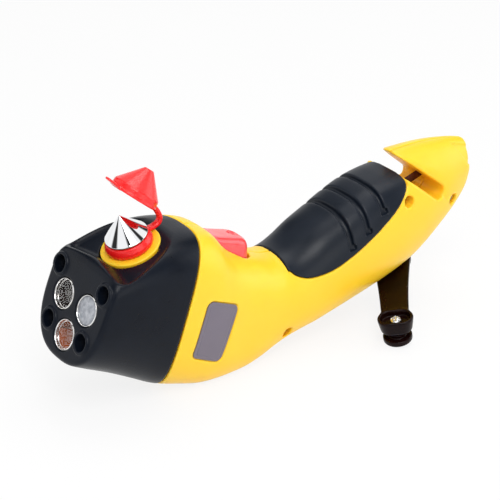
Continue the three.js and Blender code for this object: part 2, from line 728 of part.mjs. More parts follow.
function shells() {
  const front = depthSlab(shellStart - spigotLength, shellStart + bulkheadThickness);
  const collarDepth = -tipShankLength - fitGap * 2;
  const spigot = bodyForm(bodyWall + fitGap, innerRing).intersect(front)
    .subtract(bodyForm(bodyWall + fitGap + spigotWall, innerRing)
      .intersect(depthSlab(shellStart - spigotLength - cutOverrun, shellStart - bulkheadThickness)))
    .subtract(disc(bulkheadHoleRadius, -farAway, -shellStart + spigotLength, mediumSides, faceFrame))
    .subtract(dish(bodyWall + fitGap))
    .subtract(disc(collarRadius + fitGap * 2, collarDepth, farAway, mediumSides, hammerFrame));
  const gripBed = gripRegion(fitGap).subtract(handleForm(gripThickness + 2 * fitGap, innerRing));
  let body = outerForm.subtract(gripBed).subtract(shellCavity());
  const well = switchRegion(fitGap + switchWellWall).intersect(bodyForm(fitGap));
  const shelf = block(shelfFrontX, shelfRearX, -farAway, farAway, shelfZ, shelfZ + shelfThickness)
    .intersect(bodyForm(bodyWall / 2));
  const pinHole = switchHalfWidth + switchPinLength + fitGap;
  const pinPlace = switchHinge.clone().multiply(sideways);
  body = body.add(well).add(shelf)
    .subtract(switchRegion(fitGap))
    .subtract(moduleForm(fitGap))
    .subtract(disc(switchPinRadius + fitGap, -pinHole, pinHole, smallSides, pinPlace));
  body = body.subtract(headZone(fitGap)).add(spigot);
  for (const [, rise, spread] of screwPlaces) {
    const place = at(faceFrame, rise, spread);
    const wellBack = wellDepth + wellFloor + fitGap;
    body = body
      .add(disc(postRadius, -shellStart + bulkheadThickness / 2, -wellBack, smallSides, place))
      .subtract(disc(screwShankRadius + fitGap, -wellBack - screwShankLength, cutOverrun, smallSides, place));
  }
  for (const share of bodyScrewShares) {
    const [x, z] = sidePoint(share);
    const place = new THREE.Matrix4().makeTranslation(x, 0, z).multiply(sideways);
    const screwEnd = bodyWellFloorY - bodyScrewLength - fitGap;
    const boss = disc(bodyBossRadius, -farAway, farAway, mediumSides, place)
      .intersect(bodyForm(bodyWall / 2));
    body = body.add(boss)
      .subtract(disc(bodyWellRadius, bodyWellFloorY, farAway, mediumSides, place))
      .subtract(disc(screwShankRadius + fitGap, screwEnd, farAway, smallSides, place));
  }
  const wheelTop = firstLayerZ + gearWidth + fitGap;
  body = body
    .subtract(disc(magnetFaceRadius + fitGap, -cutOverrun, bodyWall + cutOverrun, fineSides))
    .subtract(disc(bushRadius + fitGap, -cutOverrun, bodyWall + cutOverrun, mediumSides, crankFrame))
    .subtract(disc(bushFlangeRadius + fitGap, bodyWall, firstLayerZ, mediumSides, crankFrame))
    .subtract(disc(wheelRoom, firstLayerZ - fitGap, wheelTop, mediumSides, crankFrame))
    .subtract(bladeRegion(fitGap))
    .subtract(slotRegion(0));
  const farHalf = body.intersect(block(-farAway * 2, farAway * 2, fitGap / 2, farAway, -farAway, farAway));
  const nearHalf = body.intersect(block(-farAway * 2, farAway * 2, -farAway, -fitGap / 2, -farAway, farAway))
    .subtract(labelRegion(fitGap).subtract(bodyForm(labelSink + labelThickness + fitGap)));
  return [nearHalf, farHalf];
}

// Label plate: a rounded slanted panel let into the near side
function labelRegion(grow) {
  const corners = labelShares.map(sidePoint).map(([x, z]) => new THREE.Vector2(x, z));
  const centre = corners.reduce((sum, corner) => sum.add(corner), new THREE.Vector2())
    .divideScalar(corners.length);
  const shape = new THREE.Shape();
  corners.forEach((corner, i) => {
    const before = corners[(i + 3) % 4];
    const after = corners[(i + 1) % 4];
    const start = corner.clone().add(before.clone().sub(corner).setLength(labelCorner));
    const end = corner.clone().add(after.clone().sub(corner).setLength(labelCorner));
    for (const point of [start, corner, end]) {
      const away = point.clone().sub(centre);
      point.copy(centre).add(away.setLength(away.length() + grow));
    }
    if (i === 0) shape.moveTo(start.x, start.y);
    else shape.lineTo(start.x, start.y);
    shape.quadraticCurveTo(corner.x, corner.y, end.x, end.y);
  });
  return raised(shape.getPoints(labelCornerSteps).slice(0, -1).map((p) => [p.x, p.y]), 0, farAway, sideways);
}

function labelPlate() {
  return labelRegion(0).intersect(bodyForm(labelSink)).subtract(bodyForm(labelSink + labelThickness));
}

function grip() {
  let made = outerForm.intersect(gripRegion(0)).subtract(handleForm(gripThickness, innerRing));
  for (const share of grooveTopShares) {
    const [x, z] = sidePoint(share);
    const place = tiltedFrame(x, z, grooveSlopeDegrees);
    const depth = grooveEndHeightShare * headHalfWidth * 2;
    const cut = block(-grooveWidth / 2, grooveWidth / 2, -farAway, farAway, -depth, farAway, place)
      .subtract(handleForm(grooveDepth, innerRing));
    made = made.subtract(cut);
  }
  return made;
}

function bladeOutline(grow) {
  const half = bladeWidth / 2 + grow;
  const long = bladeLength / 2 + grow;
  return [[-long, -half], [long, -half], [long - bladeWidth / 2, half], [-long, half]];
}
const bladeFrame = at(slotFrame, bladeAlong, 0, slotWidth / 2)
  .multiply(new THREE.Matrix4().makeRotationY(-bladeTurnDegrees * degrees));
const bladeRegion = (grow) => acrossBody(
  bladeOutline(grow), -bladeThickness / 2 - grow, bladeThickness / 2 + grow, bladeFrame,
);

// Rounded block of the thumb switch with its hinge pins and dimple
function thumbSwitch() {
  const shape = new THREE.Shape(switchOutline.map(([x, z]) => new THREE.Vector2(x, z)));
  const geometry = new THREE.ExtrudeGeometry(shape, {
    depth: 2 * (switchHalfWidth - switchEdgeRound),
    bevelEnabled: true,
    bevelThickness: switchEdgeRound,
    bevelSize: switchEdgeRound,
    bevelOffset: -switchEdgeRound,
    bevelSegments: switchEdgeSteps,
  });
  geometry.translate(0, 0, -(switchHalfWidth - switchEdgeRound));
  const pins = switchHalfWidth + switchPinLength;
  const dimple = turned(
    [[0, -dimpleDepth], [dimpleRadius, dimpleDepth], [0, dimpleDepth]],
    mediumSides,
    tiltedFrame(dimpleX, dimpleZ, dimpleSlopeDegrees),
  );
  return solidOf(geometry, sideways)
    .intersect(switchPlan(0))
    .add(disc(switchPinRadius, -pins, pins, smallSides, switchHinge.clone().multiply(sideways)))
    .subtract(dimple);
}

function screw(headRadius, headHeight, shankLength) {
  const cross = headHeight - screwCrossDepth;
  const half = screwCrossWidth / 2;
  const reach = headRadius * screwCrossReachShare;
  return turned([
    [0, -shankLength], [screwShankRadius, -shankLength], [screwShankRadius, 0], [headRadius, 0],
    [headRadius, headHeight * screwEdgeShare], [headRadius * screwCrownShare, headHeight], [0, headHeight],
  ], smallSides)
    .subtract(block(-half, half, -reach, reach, cross, headHeight + cutOverrun))
    .subtract(block(-reach, reach, -half, half, cross, headHeight + cutOverrun));
}

// Lamps: lens, reflector and light-emitting diode, built round z with the lamp plane at z = 0
const reflectorFront = -faceWall - fitGap;
const reflectorBack = reflectorFront - reflectorDepth;
const reflectorShares = [0, 0.1, 0.32, 0.65, 1];
function reflector() {
  const rim = lampRadius + reflectorFlange;
  const mouth = lampRadius - reflectorWall / 2;
  const throat = ledFlangeRadius + fitGap;
  const bowlFoot = reflectorBack + ledFlangeThickness;
  const inner = reflectorShares.map((share) => [
    throat + (mouth - throat) * Math.sqrt(share), bowlFoot + (reflectorFront - bowlFoot) * share,
  ]);
  const outer = inner.slice(0, -1).map(([r, z]) => [r + reflectorWall, z]);
  return turned([
    [throat, reflectorBack], [throat + reflectorWall, reflectorBack], ...outer.slice(1),
    [rim, reflectorFront - reflectorWall], [rim, reflectorFront], ...inner.reverse(),
  ], mediumSides);
}

function led() {
  const base = reflectorBack;
  const domeStart = base + ledHeight;
  const dome = domeShares.map((t) => [
    ledRadius * Math.cos((t * Math.PI) / 2), domeStart + ledRadius * Math.sin((t * Math.PI) / 2),
  ]);
  return turned([
    [0, base], [ledFlangeRadius, base], [ledFlangeRadius, base + ledFlangeThickness],
    [ledRadius, base + ledFlangeThickness], ...dome,
  ], smallSides);
}

function lampBoard() {
  const front = reflectorBack - fitGap;
  const upper = upperScrewRise - postRadius - fitGap;
  const waist = upperLampRise - lampRadius - reflectorFlange;
  const wide = upperLampSpread + ledFlangeRadius + reflectorWall * 2;
  const slim = ledFlangeRadius + reflectorWall * 2;
  const low = lowerLampRise - ledFlangeRadius - reflectorWall * 2;
  return raised(
    [
      [low, -slim], [waist, -slim], [waist, -wide], [upper, -wide],
      [upper, wide], [waist, wide], [waist, slim], [low, slim],
    ],
    front - boardThickness,
    front,
  );
}

// Hammer tip, collar and ring, built round z with the tip's base at z = 0
function hammerTip() {
  return turned([
    [0, -tipShankLength], [tipShankRadius, -tipShankLength], [tipShankRadius, -tipEdge],
    [tipRadius, -tipEdge], [tipRadius, 0], [tipPointRadius, tipHeight - tipPointRadius / 2], [0, tipHeight],
  ], fineSides);
}

function hammerCollar() {
  const top = -collarDrop;
  const low = top - collarThickness;
  const bore = tipShankRadius + fitGap;
  const socket = bore + collarWall;
  return turned([
    [bore, -tipShankLength], [socket, -tipShankLength], [socket, low], [collarRadius, low],
    [collarRadius, top - fitGap], [collarRadius - fitGap, top], [bore, top],
  ], fineSides);
}

function capRing() {
  const low = -collarDrop + fitGap;
  const bore = tipShankRadius + fitGap;
  const lip = -tipEdge - fitGap;
  return turned([
    [bore, low], [ringRadius, low], [ringTopRadius, -ringTopDrop],
    [tipRadius + fitGap, -ringTopDrop], [bore, lip - fitGap],
  ], fineSides);
}

// Safety cap round its own axis with its rim at z = 0, a pull tab on the side away from the strap
function safetyCap() {
  const apex = capSkirt + capConeHeight;
  const slope = Math.atan2(capRadius - capPointRadius, capConeHeight);
  const innerApex = apex - capWall / Math.sin(slope);
  const innerRadius = capRadius - capWall;
  const shell = turned([
    [innerRadius, 0], [capRadius, 0], [capRadius * capSkirtTopShare, capSkirt],
    [capPointRadius, apex], [0, apex],
    [0, innerApex], [innerRadius, capSkirt - capWall * Math.tan(slope / 2)],
  ], fineSides);
  const tabHalf = capTabWidth / 2;
  const tab = block(
    -capRadius - capTabLength, -capRadius + capWall / 2, -tabHalf, tabHalf, 0, capTabThickness,
  );
  return shell.add(tab);
}

// The cap turns about an axis behind the ring, in the bend of the strap
const capTurn = new THREE.Matrix4().makeTranslation(capHingeReach, 0, capHingeRise)
  .multiply(new THREE.Matrix4().makeRotationY(capOpenDegrees * degrees))
  .multiply(new THREE.Matrix4().makeTranslation(-capHingeReach, 0, capRimRise - capHingeRise));

function capStrap() {
  const thin = strapThickness / 2;
  const capSide = capRadius + fitGap;
  const ringEnd = new THREE.Vector3(ringRadius + fitGap, 0, (-collarDrop - ringTopDrop) / 2 + thin);
  const capEnd = new THREE.Vector3(capSide, 0, thin).applyMatrix4(capTurn);
  const capOut = new THREE.Vector3(capSide + strapThickness, 0, thin).applyMatrix4(capTurn);
  const bulge = new THREE.Vector3(capHingeReach, 0, (ringEnd.z + capOut.z) / 2);
  const path = new THREE.CatmullRomCurve3([
    ringEnd, ringEnd.clone().setX(ringEnd.x + strapThickness), bulge, capOut, capEnd,
  ]);
  const half = strapWidth / 2;
  const section = new THREE.Shape([[-half, -thin], [half, -thin], [half, thin], [-half, thin]]
    .map(([x, y]) => new THREE.Vector2(x, y)));
  const options = { steps: strapSteps, extrudePath: path, bevelEnabled: false };
  return solidOf(new THREE.ExtrudeGeometry(section, options));
}

// Crank pieces, built with the shaft on z
function crankShaft() {
  const bore = screwShankRadius + fitGap;
  const low = -armClearance - hubThickness + fitGap;
  return turned([
    [bore, low], [shaftRadius, low], [shaftRadius, shaftTopZ], [0, shaftTopZ],
    [0, low + screwShankLength], [bore, low + screwShankLength],
  ], mediumSides);
}

const roundEndSteps = 8;
const stadium = (halfLength, halfWidth) => {
  const points = [];
  for (const side of [1, -1]) {
    for (let k = 0; k <= roundEndSteps; k += 1) {
      const angle = (Math.PI * k) / roundEndSteps;
      points.push([
        halfWidth * Math.cos(angle) * side,
        side * (halfLength - halfWidth) + halfWidth * Math.sin(angle) * side,
      ]);
    }
  }
  return points;
};

// A stadium-shaped cup whose walls draw in towards its floor
function cupBody(halfLength, halfWidth, low, high, taper) {
  const foot = stadium(halfLength - taper * 2, halfWidth - taper / 2);
  const place = new THREE.Matrix4().makeTranslation(armLength, 0, 0);
  return tapered(foot, stadium(halfLength, halfWidth), low, high, place);
}

// The knob's flange just reaches the plane that the foot stands on
const landSlope = landSlopeDegrees * degrees;
const knobDrop = shaftZ + armLength * Math.cos(armTurnDegrees * degrees) * Math.sin(landSlope);
const knobBottomZ = (knobFlangeRadius * Math.sin(landSlope) - knobDrop) / Math.cos(landSlope);

const armTop = -armClearance;
const cupLow = armTop - cupDepth;
function crankArm() {
  const strip = raised(
    [[0, -hubRadius], [armLength, -armEndHalfWidth], [armLength, armEndHalfWidth], [0, hubRadius]],
    armTop - armThickness,
    armTop,
  );
  const end = new THREE.Matrix4().makeTranslation(armLength, 0, 0);
  const hollowTop = armTop + cutOverrun;
  const cupHollow = cupBody(cupHalfLength - cupWall, cupHalfWidth - cupWall, cupLow + cupFloor, hollowTop, 0);
  return strip
    .add(disc(hubRadius, armTop - hubThickness, armTop, fineSides))
    .add(cupBody(cupHalfLength, cupHalfWidth, cupLow, armTop, cupTaper))
    .subtract(cupHollow)
    .subtract(disc(screwShankRadius + fitGap, cupLow - cutOverrun, 0, smallSides, end))
    .subtract(disc(shaftRadius + fitGap, armTop - hubThickness - cutOverrun, 0, mediumSides));
}

function crankKnob() {
  const top = cupLow - runningGap;
  const flangeTop = knobBottomZ + knobFlangeThickness;
  const bore = screwShankRadius + runningGap;
  return turned([
    [bore, knobBottomZ + cupFloor], [bore, top], [knobTopRadius, top],
    [knobWaistRadius, (top + flangeTop) / 2], [knobWaistRadius, flangeTop],
    [knobFlangeRadius, flangeTop], [knobFlangeRadius, knobBottomZ],
    [0, knobBottomZ], [0, knobBottomZ + cupFloor],
  ], fineSides);
}

// Straight-sided teeth with room at tip and root
function gearOutline(teeth, phase) {
  const pitch = (gearModule * teeth) / 2;
  const tip = pitch + addendumShare * gearModule;
  const root = pitch - dedendumShare * gearModule;
  const step = (2 * Math.PI) / teeth;
  const points = [];
  for (let k = 0; k < teeth; k += 1) {
    const centre = phase + k * step;
    for (const [radius, share] of [
      [root, -toothRootShare], [tip, -toothTipShare / 2], [tip, toothTipShare / 2], [root, toothRootShare],
    ]) {
      const angle = centre + share * step;
      points.push([radius * Math.cos(angle), radius * Math.sin(angle)]);
    }
  }
  return points;
}

const layerLow = (layer) => firstLayerZ + layer * gearLayerStep;
const gear = (teeth, phase, low, high) => raised(gearOutline(teeth, phase), low, high);

// Centres along the belly: shaft, first idler, second idler, rotor
const firstIdlerX = -(pitchRadius(wheelTeeth) + pitchRadius(pinionTeeth));
const secondIdlerX = firstIdlerX - (pitchRadius(idlerTeeth) + pitchRadius(pinionTeeth));
const rotorX = secondIdlerX - (pitchRadius(idlerTeeth) + pitchRadius(pinionTeeth));
const pinionPhase = Math.PI / pinionTeeth;
const plateLow = layerLow(3);
const plateHigh = plateLow + plateThickness;

// A wheel has a tooth towards the next pinion, at angle pi, and the pinion a gap towards it, at angle 0
function crankGear() {
  return gear(wheelTeeth, Math.PI, layerLow(0), layerLow(0) + gearWidth)
    .subtract(disc(shaftRadius + fitGap, 0, farAway, mediumSides));
}

function idler(layer) {
  const low = layerLow(layer) - pinionOverlap;
  const middle = layerLow(layer + 1);
  return gear(pinionTeeth, pinionPhase, low, middle + gearWidth / 2)
    .add(gear(idlerTeeth, Math.PI, middle, middle + gearWidth))
    .subtract(disc(arborRadius + runningGap, 0, farAway, smallSides));
}

function dynamoRotor() {
  const drumLow = plateHigh + fitGap + rotorDrumStart;
  const drumHigh = drumLow + rotorDrumHeight;
  const shaftHigh = plateHigh + fitGap + canHeight;
  return gear(pinionTeeth, pinionPhase, layerLow(2) - pinionOverlap, layerLow(2) + gearWidth)
    .add(disc(rotorShaftRadius, layerLow(2), shaftHigh, smallSides))
    .add(disc(rotorRadius, drumLow, drumHigh, mediumSides));
}

function gearPlate() {
  const zone = block(plateFrontX, plateRearX, -farAway, farAway, plateLow, plateHigh, crankFrame);
  const inside = bodyForm(bodyWall + fitGap, innerRing, cavityEndShare);
  let plate = inside.intersect(zone).subtract(
    disc(shaftRadius + runningGap, 0, farAway, mediumSides, crankFrame),
  );
  for (const x of [firstIdlerX, secondIdlerX]) {
    plate = plate.subtract(disc(arborRadius + fitGap, 0, farAway, smallSides, at(crankFrame, x, 0)));
  }
  const rotorHole = rotorShaftRadius + runningGap * 2;
  return plate.subtract(disc(rotorHole, 0, farAway, smallSides, at(crankFrame, rotorX, 0)));
}

function dynamoCan() {
  const low = plateHigh + fitGap;
  const high = low + canHeight;
  return turned([
    [canRadius - canWall, low], [canRadius, low], [canRadius, high], [rotorShaftRadius + runningGap, high],
    [rotorShaftRadius + runningGap, high - canWall], [canRadius - canWall, high - canWall],
  ], fineSides);
}

function shaftBush() {
  const bore = shaftRadius + runningGap;
  const flangeLow = bodyWall + fitGap;
  const flangeHigh = flangeLow + bushFlangeThickness;
  return turned([
    [bore, 0], [bushRadius, 0], [bushRadius, flangeLow], [bushFlangeRadius, flangeLow],
    [bushFlangeRadius, flangeHigh], [bore, flangeHigh],
  ], mediumSides);
}

function lead(shares) {
  const path = new THREE.CatmullRomCurve3(shares.map(([x, y, z]) => (
    new THREE.Vector3(inLength(x), y * headHalfWidth, inHeight(z))
  )));
  const section = new THREE.Shape();
  for (let k = 0; k < leadSides; k += 1) {
    const angle = (2 * Math.PI * k) / leadSides;
    const place = [leadRadius * Math.cos(angle), leadRadius * Math.sin(angle)];
    if (k === 0) section.moveTo(...place);
    else section.lineTo(...place);
  }
  const options = { steps: leadSteps, extrudePath: path, bevelEnabled: false };
  return solidOf(new THREE.ExtrudeGeometry(section, options));
}

// Charge board over the battery, with a coil, a capacitor and a rectifier on it
const batteryZ = bodyWall + fitGap + batteryLift + batteryRadius;
const chargeBoardLow = batteryZ + batteryRadius + fitGap;
const chargeBoardHigh = chargeBoardLow + chargeBoardThickness;
const capacitorRadius = 2.6;
const capacitorHeight = 6;
const coilRadius = 3.4;
const coilHeight = 3.2;
const rectifierSize = 5;
const rectifierHeight = 1.9;
function chargeBoard() {
  const third = (chargeBoardRearX - chargeBoardFrontX) / 3;
  const wide = chargeBoardHalfWidth;
  const seat = chargeBoardHigh - fitGap;
  const rectifierFront = chargeBoardRearX - third;
  const half = rectifierSize / 2;
  const beside = (y) => new THREE.Matrix4().makeTranslation(chargeBoardFrontX + third, y, 0);
  return block(chargeBoardFrontX, chargeBoardRearX, -wide, wide, chargeBoardLow, chargeBoardHigh)
    .add(disc(capacitorRadius, seat, chargeBoardHigh + capacitorHeight, smallSides, beside(wide / 2)))
    .add(disc(coilRadius, seat, chargeBoardHigh + coilHeight, smallSides, beside(-wide / 2)))
    .add(block(rectifierFront, rectifierFront + rectifierSize, -half, half, seat, seat + rectifierHeight));
}

// Finishes
const finish = (color, roughness, metalness, more = {}) => new THREE.MeshStandardMaterial({
  color, roughness, metalness, ...more,
});
const yellowPlastic = finish(0xffd21f, 0.42, 0);
const blackPlastic = finish(0x1c1e22, 0.55, 0);
const gripRubber = finish(0x23262b, 0.6, 0);
const redPlastic = finish(0xe3242b, 0.45, 0);
const switchPlastic = finish(0xe8474c, 0.35, 0);
const polishedSteel = finish(0xd8dade, 0.15, 1);
const bladeSteel = finish(0x9aa0a6, 0.3, 1);
const clearPlastic = finish(0xf2f6f8, 0.05, 0, { transparent: true, opacity: 0.35 });
const chromedPlastic = finish(0xe6e8ea, 0.12, 1);
const ledEpoxy = finish(0xf4f1e2, 0.2, 0);
const boardLaminate = finish(0x1f6b3a, 0.6, 0);
const labelPlastic = finish(0x6d6366, 0.5, 0);
const brass = finish(0xb58f4a, 0.35, 1);
const gearPlastic = finish(0xe9e6dc, 0.55, 0);
const sleeve = finish(0x2c5ea8, 0.5, 0);
const ferrite = finish(0x3a3c40, 0.7, 0);
const copper = finish(0xb4683a, 0.4, 1);
const leadPlastic = finish(0xc43a2e, 0.5, 0);

const flashlight = new THREE.Group();

function addPiece(group, name, solid, material) {
  const mesh = new THREE.Mesh(geometryOf(solid), material);
  mesh.name = name;
  group.add(mesh);
  return mesh;
}

function placedGroup(parent, frame) {
  const group = new THREE.Group();
  group.applyMatrix4(frame);
  parent.add(group);
  return group;
}

const [nearShell, farShell] = shells();
addPiece(flashlight, "near_shell", nearShell, yellowPlastic);
addPiece(flashlight, "far_shell", farShell, yellowPlastic);
addPiece(flashlight, "head_cover", headCover(), blackPlastic);
addPiece(flashlight, "grip_cover", grip(), gripRubber);
addPiece(flashlight, "label_plate", labelPlate(), labelPlastic);
addPiece(flashlight, "cutter_blade", bladeRegion(0), bladeSteel);
addPiece(flashlight, "thumb_switch", thumbSwitch(), switchPlastic);

bodyScrewShares.forEach((share, i) => {
  const [x, z] = sidePoint(share);
  const place = new THREE.Matrix4().makeTranslation(x, 0, z).multiply(sideways);
  const group = placedGroup(flashlight, at(place, 0, 0, bodyWellFloorY + fitGap));
  const made = screw(bodyScrewHeadRadius, screwHeadHeight, bodyScrewLength);
  addPiece(group, `body_screw_${i + 1}`, made, polishedSteel);
});

const face = placedGroup(flashlight, faceFrame);
for (const [side, rise, spread] of lampPlaces) {
  const lamp = placedGroup(face, new THREE.Matrix4().makeTranslation(rise, spread, 0));
  const lens = disc(lampRadius, -lensSink - lensThickness, -lensSink, mediumSides);
  addPiece(lamp, `lens_${side}`, lens, clearPlastic);
  addPiece(lamp, `reflector_${side}`, reflector(), chromedPlastic);
  addPiece(lamp, `led_${side}`, led(), ledEpoxy);
}
addPiece(face, "lamp_board", lampBoard(), boardLaminate);
for (const [side, rise, spread] of screwPlaces) {
  const place = placedGroup(face, new THREE.Matrix4().makeTranslation(rise, spread, -wellDepth + fitGap));
  const made = screw(screwHeadRadius, screwHeadHeight, screwShankLength);
  addPiece(place, `head_screw_${side}`, made, polishedSteel);
}

const hammer = placedGroup(flashlight, hammerFrame);
addPiece(hammer, "hammer_tip", hammerTip(), polishedSteel);
addPiece(hammer, "hammer_collar", hammerCollar(), yellowPlastic);
addPiece(hammer, "cap_ring", capRing(), redPlastic);
addPiece(hammer, "cap_strap", capStrap(), redPlastic);
addPiece(placedGroup(hammer, capTurn), "safety_cap", safetyCap(), redPlastic);

const crankSeat = placedGroup(flashlight, crankFrame);
addPiece(crankSeat, "shaft_bush", shaftBush(), brass);
addPiece(crankSeat, "crank_shaft", crankShaft(), polishedSteel);
addPiece(crankSeat, "crank_gear", crankGear(), gearPlastic);
const seatAt = (x) => placedGroup(crankSeat, new THREE.Matrix4().makeTranslation(x, 0, 0));
[firstIdlerX, secondIdlerX].forEach((x, i) => {
  addPiece(seatAt(x), `idler_gear_${i + 1}`, idler(i), gearPlastic);
  addPiece(seatAt(x), `arbor_${i + 1}`, disc(arborRadius, arborFootZ, plateHigh, smallSides), polishedSteel);
});
const rotorSeat = seatAt(rotorX);
addPiece(rotorSeat, "dynamo_rotor", dynamoRotor(), ferrite);
addPiece(rotorSeat, "dynamo_can", dynamoCan(), polishedSteel);
const coilHigh = plateHigh + canHeight - canWall - fitGap;
const coilOuterRadius = canRadius - canWall - fitGap;
const coilLow = plateHigh + fitGap * 2;
addPiece(rotorSeat, "dynamo_coil", tube(coilInnerRadius, coilOuterRadius, coilLow, coilHigh), copper);
addPiece(flashlight, "gear_plate", gearPlate(), gearPlastic);

const crank = placedGroup(crankSeat, new THREE.Matrix4().makeRotationZ(armTurnDegrees * degrees));
addPiece(crank, "crank_arm", crankArm(), blackPlastic);
const hubLow = armTop - hubThickness - fitGap;
const turnOver = new THREE.Matrix4().makeRotationX(Math.PI);
addPiece(
  placedGroup(crank, new THREE.Matrix4().makeTranslation(0, 0, hubLow).multiply(turnOver)),
  "hub_screw",
  screw(hubScrewHeadRadius, hubScrewHeadHeight, screwShankLength - cutOverrun),
  polishedSteel,
);
const knobSeat = placedGroup(crank, new THREE.Matrix4().makeTranslation(armLength, 0, 0));
addPiece(
  placedGroup(knobSeat, new THREE.Matrix4().makeTranslation(0, 0, cupLow + cupFloor + fitGap)),
  "knob_screw",
  screw(knobScrewHeadRadius, knobScrewHeadHeight, cupLow + cupFloor - knobBottomZ - cupFloor),
  polishedSteel,
);
addPiece(knobSeat, "crank_knob", crankKnob(), blackPlastic);

// Battery, magnet, boards and leads
addPiece(flashlight, "battery_pack", disc(
  batteryRadius, -batteryLength / 2, batteryLength / 2, mediumSides,
  new THREE.Matrix4().makeTranslation(batteryX, 0, batteryZ).multiply(sideways),
), sleeve);
const magnetSeat = bodyWall + fitGap;
addPiece(flashlight, "foot_magnet", turned([
  [0, 0], [magnetFaceRadius, 0], [magnetFaceRadius, magnetSeat], [magnetRadius, magnetSeat],
  [magnetRadius, magnetSeat + magnetThickness], [0, magnetSeat + magnetThickness],
], fineSides), ferrite);
addPiece(flashlight, "charge_board", chargeBoard(), boardLaminate);
addPiece(flashlight, "switch_module", moduleForm(0), blackPlastic);
addPiece(flashlight, "lamp_lead", lead(lampLeadShares), leadPlastic);
addPiece(flashlight, "dynamo_lead", lead(dynamoLeadShares), leadPlastic);

export default flashlight;
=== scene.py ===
"""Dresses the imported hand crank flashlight: shells, grip, lamps, hammer tip, switch and crank."""
import logging
import math
from dataclasses import dataclass, field
from enum import Enum
from typing import Iterable, Optional, Sequence

import bpy
import numpy as np
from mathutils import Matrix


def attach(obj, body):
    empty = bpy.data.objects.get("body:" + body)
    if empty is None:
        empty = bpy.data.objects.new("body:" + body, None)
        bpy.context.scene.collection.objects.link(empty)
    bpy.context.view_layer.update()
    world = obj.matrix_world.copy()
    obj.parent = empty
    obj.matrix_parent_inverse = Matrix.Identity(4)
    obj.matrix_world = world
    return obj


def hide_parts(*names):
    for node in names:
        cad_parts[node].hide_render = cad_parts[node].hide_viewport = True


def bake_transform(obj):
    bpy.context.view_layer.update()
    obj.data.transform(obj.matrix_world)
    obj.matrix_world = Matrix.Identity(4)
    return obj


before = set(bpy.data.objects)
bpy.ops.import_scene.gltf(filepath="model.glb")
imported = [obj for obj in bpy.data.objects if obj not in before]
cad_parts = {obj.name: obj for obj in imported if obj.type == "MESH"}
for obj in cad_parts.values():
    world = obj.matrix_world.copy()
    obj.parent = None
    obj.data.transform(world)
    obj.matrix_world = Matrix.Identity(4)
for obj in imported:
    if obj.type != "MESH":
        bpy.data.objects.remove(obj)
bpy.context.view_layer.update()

import openvdb
from mathutils import Matrix, Vector

MM = 0.001
# below these a length or a radius counts as nothing
TINY = 1e-12
ON_AXIS = 1e-6
LOG = logging.getLogger("flashlight")

Array = np.ndarray
Point2 = tuple[float, float]


# Placement


@dataclass(frozen=True)
class Lean:
    """A frame in the mid plane.

    Its own x leans up by a slope, its z stands square to that, and its y is the row's y.
    """

    x: float
    z: float
    slope: float

    def matrix(self) -> Array:
        """The 4 by 4 matrix from this frame to the row frame, in millimetres."""
        c, s = math.cos(math.radians(self.slope)), math.sin(math.radians(self.slope))
        return np.array([[c, 0, -s, self.x], [0, 1, 0, 0], [s, 0, c, self.z], [0, 0, 0, 1.0]])

    def split(self, x: Array, z: Array) -> tuple[Array, Array]:
        """Row coordinates as this frame's own.

        Args:
            x: the row's x.
            z: the row's z.

        Returns:
            This frame's x and z.
        """
        c, s = math.cos(math.radians(self.slope)), math.sin(math.radians(self.slope))
        dx, dz = x - self.x, z - self.z
        return dx * c + dz * s, dz * c - dx * s


def turn_about_z(degrees: float) -> Array:
    """A 4 by 4 turn about z."""
    c, s = math.cos(math.radians(degrees)), math.sin(math.radians(degrees))
    return np.array([[c, -s, 0, 0], [s, c, 0, 0], [0, 0, 1, 0], [0, 0, 0, 1.0]])


def turn_about_y(degrees: float) -> Array:
    """A 4 by 4 turn about y."""
    c, s = math.cos(math.radians(degrees)), math.sin(math.radians(degrees))
    return np.array([[c, 0, s, 0], [0, 1, 0, 0], [-s, 0, c, 0], [0, 0, 0, 1.0]])


def shift(x: float = 0.0, y: float = 0.0, z: float = 0.0) -> Array:
    """A 4 by 4 move.

    Args:
        x: how far along x.
        y: how far along y.
        z: how far along z.

    Returns:
        The matrix.
    """
    made = np.eye(4)
    made[:3, 3] = x, y, z
    return made


FLIP_TO_SIDE = np.array([[1, 0, 0, 0], [0, 0, -1, 0], [0, 1, 0, 0], [0, 0, 0, 1.0]])
FACE = Lean(-60.022, 40.363, 68.453)
HAMMER = Lean(-38.7, 62.1, 20)
CRANK = Lean(88, 18.9, 14.2)
SLOT = Lean(82.4, 57.6, -37.3)


# Solids as distance fields


# points are read just short of the grid's last one
LAST_POINT = 1.001


